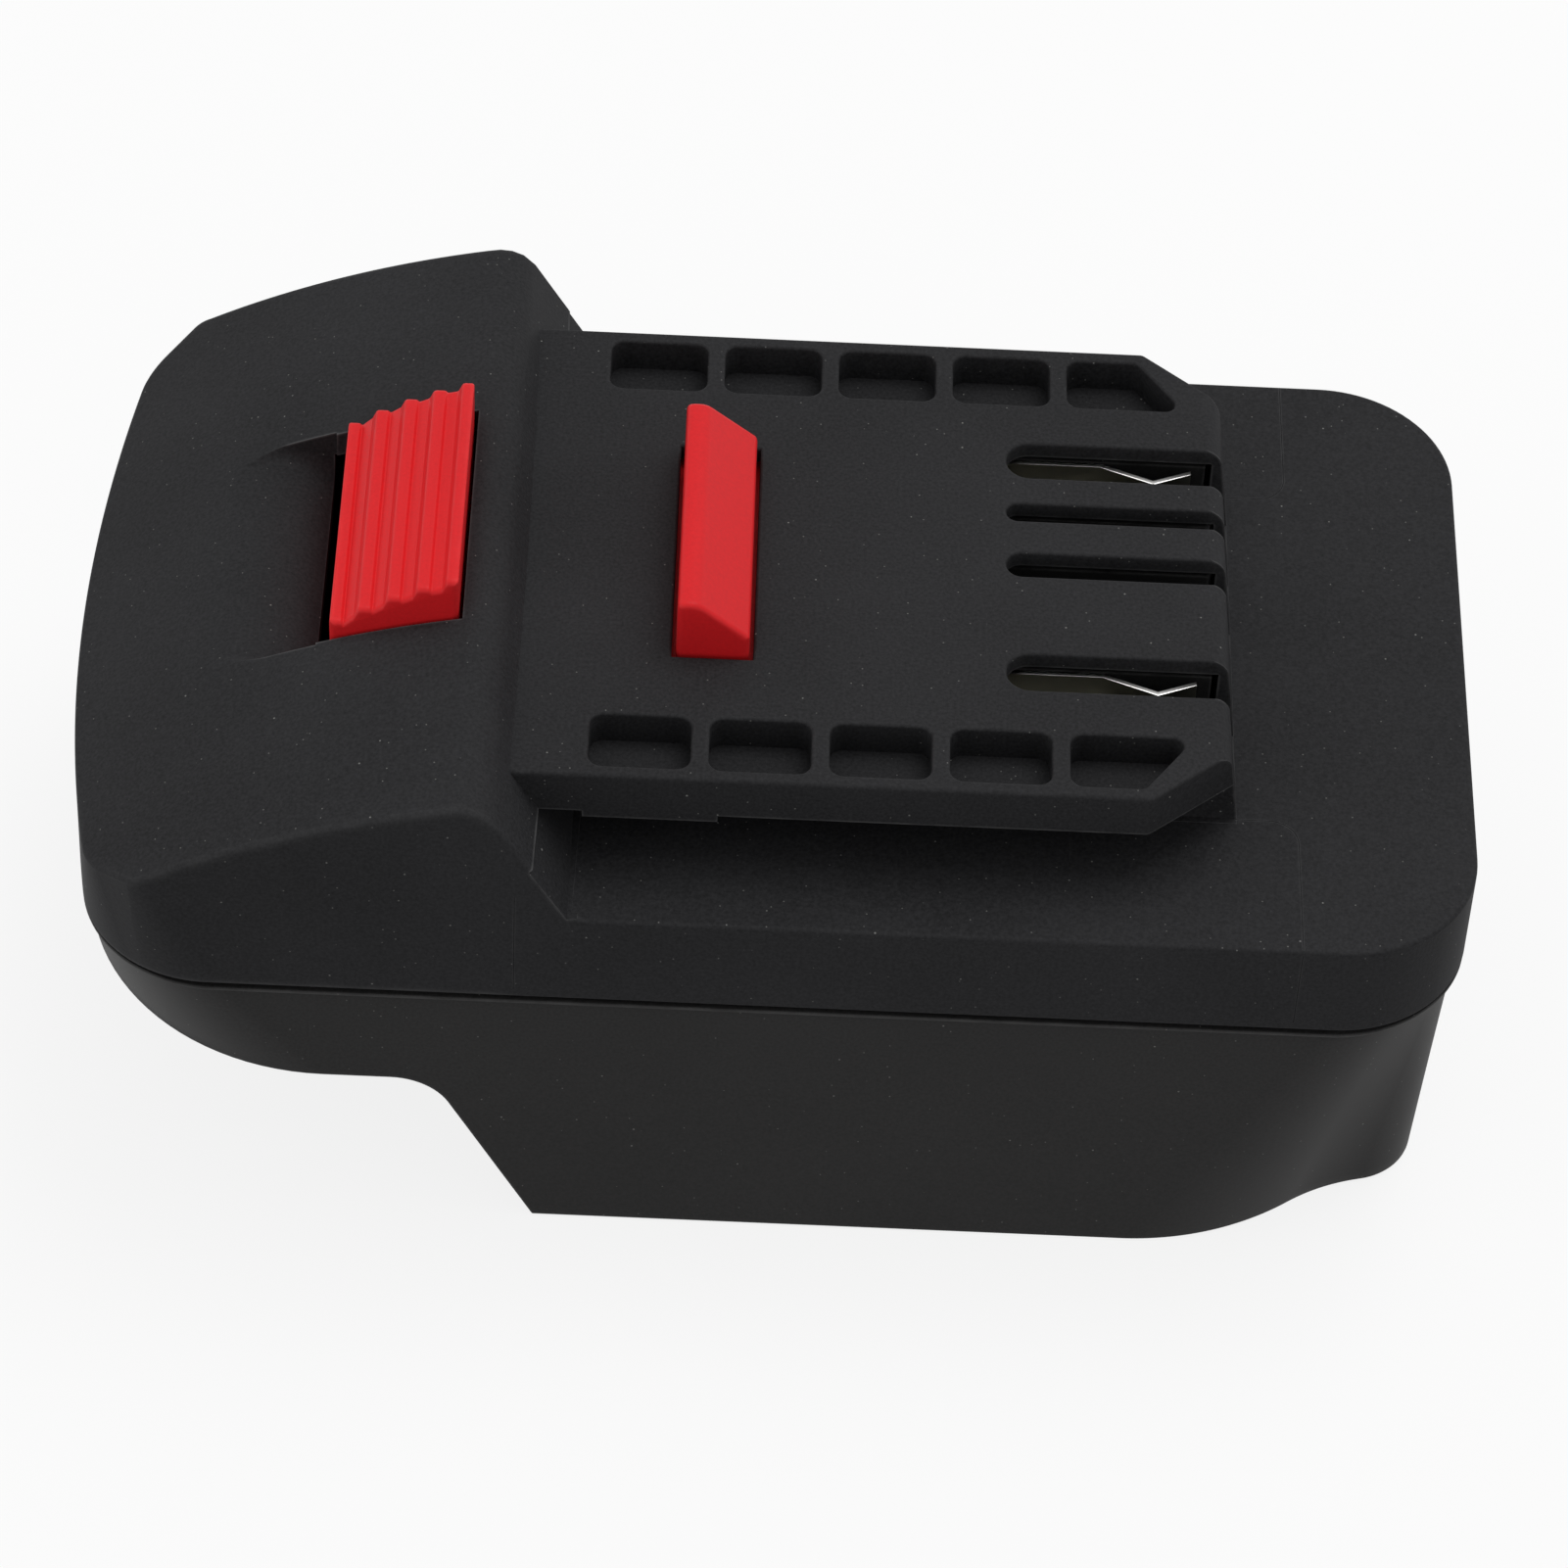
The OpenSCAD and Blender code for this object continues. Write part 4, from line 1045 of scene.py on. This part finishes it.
def mix_colour(tree, share, first, second):
    made = add_node(tree, "ShaderNodeMix", {"Factor": share}, data_type="RGBA")
    for slot, colour in zip(MIX_INPUTS, (first, second)):
        if isinstance(colour, bpy.types.NodeSocket):
            tree.links.new(colour, made.inputs[slot])
        else:
            made.inputs[slot].default_value = (*colour, 1)
    return made.outputs[MIX_OUTPUT]


def calculate(tree, operation, first, second):
    made = add_node(tree, "ShaderNodeMath", {}, operation=operation)
    for slot, value in enumerate((first, second)):
        if isinstance(value, bpy.types.NodeSocket):
            tree.links.new(value, made.inputs[slot])
        else:
            made.inputs[slot].default_value = value
    return made.outputs[0]


def specks(tree, place, spacing, radius, share):
    """Mask of small round dust specks in a share of the cells of a loose grid"""
    cells = add_node(tree, "ShaderNodeTexVoronoi", {"Vector": place, "Scale": 1 / (spacing * MM)})
    near = remap(tree, cells.outputs["Distance"], radius / spacing, DUST_CORE * radius / spacing)
    pick = add_node(tree, "ShaderNodeSeparateColor", {"Color": cells.outputs["Color"]}).outputs["Red"]
    chosen = calculate(tree, "LESS_THAN", pick, share)
    return calculate(tree, "MULTIPLY", near, chosen)


def wear_and_highlight_mask(tree, reach):
    """Mask of the outer edges, where other faces lie close behind the surface; it lightens them as wear and
    as a painted highlight
    """
    settings = {"inside": True, "samples": EDGE_SAMPLES}
    depth = add_node(tree, "ShaderNodeAmbientOcclusion", {"Distance": reach}, **settings)
    return remap(tree, depth.outputs["AO"], *EDGE_SPAN)


def add_bump(tree, shader, pattern, strength, depth):
    inputs = {"Height": pattern, "Strength": strength, "Distance": depth * MM}
    bump = add_node(tree, "ShaderNodeBump", inputs)
    tree.links.new(bump.outputs["Normal"], shader.inputs["Normal"])


def wear_and_highlight_reach(tree, place, edge_width, nose_edge_width):
    """Width of the light edges, partly wear and partly painted highlight, which grows from one value to
    another at the nose's sides
    """
    apart = add_node(tree, "ShaderNodeSeparateXYZ", {"Vector": place}).outputs
    ahead = remap(tree, apart["X"], NOSE_HIGHLIGHT_X1 * MM, NOSE_HIGHLIGHT_X0 * MM)
    beside = remap(tree, calculate(tree, "ABSOLUTE", apart["Y"], 0.0), NOSE_HIGHLIGHT_Y0 * MM, NOSE_HIGHLIGHT_Y1 * MM)
    return remap(tree, calculate(tree, "MULTIPLY", ahead, beside), 0.0, 1.0, edge_width * MM, nose_edge_width * MM)


def moulded(name, colour, roughness, specular, depth=0.05, mottle=0.45, edge_width=0.3, nose_edge_width=0.3,
            wear_and_highlight=(0.075, 0.075, 0.075), dust=0.6):
    """Moulded plastic: fine grain, slow colour drift, dust specks and light edges that are partly slight wear
    and partly a painted highlight
    """
    material, tree, shader = new_material(name)
    place = places(tree)
    drift = noise(tree, place, DRIFT_SIZE)
    fine = noise(tree, place, GRAIN_SIZE, rough=0.6)
    slow_part = calculate(tree, "MULTIPLY", drift, DRIFT_SHARE)
    fine_part = calculate(tree, "MULTIPLY", fine, 1 - DRIFT_SHARE)
    tone = calculate(tree, "ADD", slow_part, fine_part)
    dark = [(1 - mottle) * c for c in colour]
    light = [(1 + mottle) * c for c in colour]
    skin = mix_colour(tree, remap(tree, tone, *PATTERN_SPAN), dark, light)
    patchy = remap(tree, noise(tree, place, EDGE_PATCH_SIZE), *EDGE_PATCH_SPAN)
    edges = wear_and_highlight_mask(tree, wear_and_highlight_reach(tree, place, edge_width, nose_edge_width))
    lightened_edges = calculate(tree, "MULTIPLY", edges, patchy)
    # Lighter colour on the edges: partly rubbing wear, partly a painted highlight where light catches the
    # rounded edges
    skin = mix_colour(tree, lightened_edges, skin, [c + w for c, w in zip(colour, wear_and_highlight)])
    if dust:
        for spacing, radius, shade in DUST:
            grey = (shade, shade, DUST_TINT * shade)
            skin = mix_colour(tree, specks(tree, place, spacing, radius, dust), skin, grey)
    tree.links.new(skin, shader.inputs["Base Color"])
    gloss = remap(tree, tone, *PATTERN_SPAN, roughness - GLOSS_SPAN, roughness + GLOSS_SPAN)
    tree.links.new(gloss, shader.inputs["Roughness"])
    shader.inputs["Specular IOR Level"].default_value = specular
    add_bump(tree, shader, fine, GRAIN_BUMP, depth)
    return material


def metal(name, colour, roughness, streak=(1.0, 1.0, 1.0), relief=0.2, painted_top_highlight=None):
    """Metal with fine streaks and dull patches, and a painted highlight: another colour on faces that turn
    up, such as a standing sheet's top edge
    """
    material, tree, shader = new_material(name)
    place = places(tree)
    stretched = add_node(tree, "ShaderNodeMapping", {"Vector": place, "Scale": streak}).outputs["Vector"]
    lines = noise(tree, stretched, STREAK_SIZE, detail=4.0)
    tone = remap(tree, noise(tree, place, PATCH_SIZE), *PATTERN_SPAN)
    skin = mix_colour(tree, tone, [PATCH_TONE * c for c in colour], colour)
    # Painted highlight: faces that turn upward take the given colour
    if painted_top_highlight:
        facing = add_node(tree, "ShaderNodeNewGeometry", {}).outputs["Normal"]
        upward = add_node(tree, "ShaderNodeSeparateXYZ", {"Vector": facing}).outputs["Z"]
        skin = mix_colour(tree, remap(tree, upward, *HIGHLIGHT_FACING), skin, painted_top_highlight)
    tree.links.new(skin, shader.inputs["Base Color"])
    shader.inputs["Metallic"].default_value = 1.0
    gloss = remap(tree, lines, *PATTERN_SPAN, *[roughness + relief * share for share in STREAK_GLOSS])
    tree.links.new(gloss, shader.inputs["Roughness"])
    add_bump(tree, shader, lines, relief, STREAK_DEPTH)
    return material


def dress(obj, material):
    obj.data.materials.clear()
    obj.data.materials.append(material)


# Painted highlight in the light edges: widest along the upper plastic's nose crease, and strong on the red
# latch's ribs and rims
PLASTICS = {
    "upper_plastic": dict(colour=(0.0245, 0.0245, 0.026), roughness=0.65, specular=0.075, nose_edge_width=0.9),
    "lower_plastic": dict(
        colour=(0.022, 0.0215, 0.0215), roughness=0.55, specular=0.12, depth=0.008, dust=0.5
    ),
    "inner_plastic": dict(colour=(0.014, 0.014, 0.014), roughness=0.55, specular=0.2, dust=0.2),
    "red_plastic": dict(
        colour=(0.74, 0.017, 0.021), roughness=0.38, specular=0.14, depth=0.008, mottle=0.07,
        edge_width=0.7, nose_edge_width=0.7, wear_and_highlight=(0.12, 0.03, 0.03), dust=0.0
    ),
    "red_wire": dict(
        colour=(0.48, 0.015, 0.018), roughness=0.45, specular=0.3, mottle=0.1, wear_and_highlight=(0.0, 0.0, 0.0), dust=0.0
    ),
    "black_wire": dict(colour=(0.012, 0.012, 0.012), roughness=0.45, specular=0.3, dust=0.0),
    "sleeve_plastic": dict(colour=(0.01, 0.01, 0.01), roughness=0.35, specular=0.4, dust=0.0),
}
METALS = {
    "nickel": dict(colour=(0.62, 0.59, 0.52), roughness=0.3, streak=(1.0, 1.0, 0.1)),
    # The clips' nickel is a darker copy of nickel, painted shade for the clips deep in their slots, with a
    # painted highlight on their top edges
    "clip_nickel": dict(colour=(0.21, 0.205, 0.17), roughness=0.3, relief=0.0, painted_top_highlight=(0.93, 0.92, 0.9)),
    "spring_steel": dict(colour=(0.5, 0.51, 0.53), roughness=0.28),
    "screw_steel": dict(colour=(0.5, 0.5, 0.52), roughness=0.32),
}
MATERIALS = {name: moulded(name, **look) for name, look in PLASTICS.items()}
MATERIALS.update({name: metal(name, **look) for name, look in METALS.items()})

# Edge rounding of the pieces whose shape comes from their node
EDGE_R = {
    "spring_carrier": 0.3,
    "carrier_screws": 0.25,
    "contact_block": 0.2,
    "contact_block_screws": 0.25,
    "positive_clip": 0.08,
    "negative_clip": 0.08,
    "terminal_block": 0.3,
    "positive_blade": 0.15,
    "negative_blade": 0.15,
    "housing_screws": 0.25,
    "wire_sleeves": 0.1,
    "positive_wire": 0,
    "negative_wire": 0,
}


def finished_copy(node, edge_r):
    """Copy of a node with its flat faces whole and its edges rounded"""
    piece = cad_copy(node, node + "_finished")
    shape = bmesh.new()
    shape.from_mesh(piece.data)
    flat = math.radians(FLAT_ANGLE)
    bmesh.ops.dissolve_limit(shape, angle_limit=flat, verts=shape.verts, edges=shape.edges)
    shape.to_mesh(piece.data)
    shape.free()
    if edge_r:
        bevel(piece, edge_r)
    soften(piece)
    return piece


def place_piece(piece, body, node, look):
    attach(piece, body)
    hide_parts(node)
    dress(piece, MATERIALS[look])


# Pieces whose look isn't named after their material slot
LOOKS = {"positive_clip": "clip_nickel", "negative_clip": "clip_nickel"}
SLOTS = {part["node"]: part["material_slot"] for part in frame["record"]["subparts"]}

place_piece(upper_shell(), "housing", "upper_housing", "upper_plastic")
place_piece(lower_shell(), "housing", "lower_housing", "lower_plastic")
place_piece(release_latch(), "latch", "release_latch", "red_plastic")
for side in SIDES:
    dress(latch_spring(side), MATERIALS["spring_steel"])
for node, edge_r in EDGE_R.items():
    place_piece(finished_copy(node, edge_r), "housing", node, LOOKS.get(node, SLOTS[node]))
for name, node in frame["nodes"].items():
    look = SLOTS[name] if SLOTS[name] in MATERIALS else "upper_plastic"
    dress(node, MATERIALS[look])

# Camera, floor and light
camera = bpy.data.objects.new("camera", bpy.data.cameras.new("camera"))
bpy.context.scene.collection.objects.link(camera)
camera.data.lens = CAMERA_LENS
camera.data.sensor_width = CAMERA_SENSOR
camera.data.sensor_height = CAMERA_SENSOR
axes = Matrix((CAMERA_RIGHT, CAMERA_UP, CAMERA_BACK)).transposed()
camera.matrix_world = Matrix.Translation(Vector(CAMERA_PLACE) * MM) @ axes.to_4x4()
bpy.context.scene.camera = camera


def seen_directly(tree):
    """1 for camera, mirror and glass rays, and 0 for the light that falls on the part"""
    path = add_node(tree, "ShaderNodeLightPath", {})
    direct = calculate(tree, "MAXIMUM", path.outputs["Is Camera Ray"], path.outputs["Is Glossy Ray"])
    return calculate(tree, "MAXIMUM", direct, path.outputs["Is Transmission Ray"])


def white_floor():
    material, tree, shader = new_material("white_floor")
    direct = seen_directly(tree)
    colour = mix_colour(tree, direct, [FLOOR_BOUNCE] * 3, [FLOOR_SEEN] * 3)
    tree.links.new(colour, shader.inputs["Base Color"])
    shader.inputs["Roughness"].default_value = 1.0
    shader.inputs["Specular IOR Level"].default_value = 0.0
    glow = add_node(tree, "ShaderNodeEmission", {"Color": (1, 1, 1, 1), "Strength": 1.0})
    share = calculate(tree, "MULTIPLY", direct, FLOOR_GLOW)
    shaders = {0: share, 1: shader.outputs[0], 2: glow.outputs[0]}
    mixed = add_node(tree, "ShaderNodeMixShader", shaders)
    tree.links.new(mixed.outputs[0], tree.nodes["Material Output"].inputs["Surface"])
    return material


floor_corners = rect(-FLOOR_HALF, FLOOR_HALF, -FLOOR_HALF, FLOOR_HALF)
floor = solid("floor", [(p.x, p.y, FLOOR_Z) for p in floor_corners], [[0, 1, 2, 3]])
dress(floor, white_floor())


def studio_world():
    world = bpy.data.worlds.new("studio")
    world.use_nodes = True
    tree = world.node_tree
    background = tree.nodes["Background"]
    background.inputs["Color"].default_value = (1, 1, 1, 1)
    level = remap(tree, seen_directly(tree), 0.0, 1.0, WORLD_LIGHT, 1.0)
    tree.links.new(level, background.inputs["Strength"])
    return world


bpy.context.scene.world = studio_world()


def softbox(name, place, size, power):
    """Square area light that faces the part, with its place and size in millimetres and its power in watts"""
    lamp = bpy.data.lights.new(name, "AREA")
    lamp.shape = "SQUARE"
    lamp.size = size * MM
    lamp.energy = power
    obj = bpy.data.objects.new(name, lamp)
    bpy.context.scene.collection.objects.link(obj)
    obj.location = Vector(place) * MM
    obj.rotation_euler = (Vector(LIGHT_AIM) - Vector(place)).to_track_quat("-Z", "Y").to_euler()


softbox("overhead", place=(300, 250, 1150), size=700, power=4.9)
softbox("left", place=(-850, -330, 40), size=450, power=1.7)
bpy.context.scene.view_settings.view_transform = "Standard"
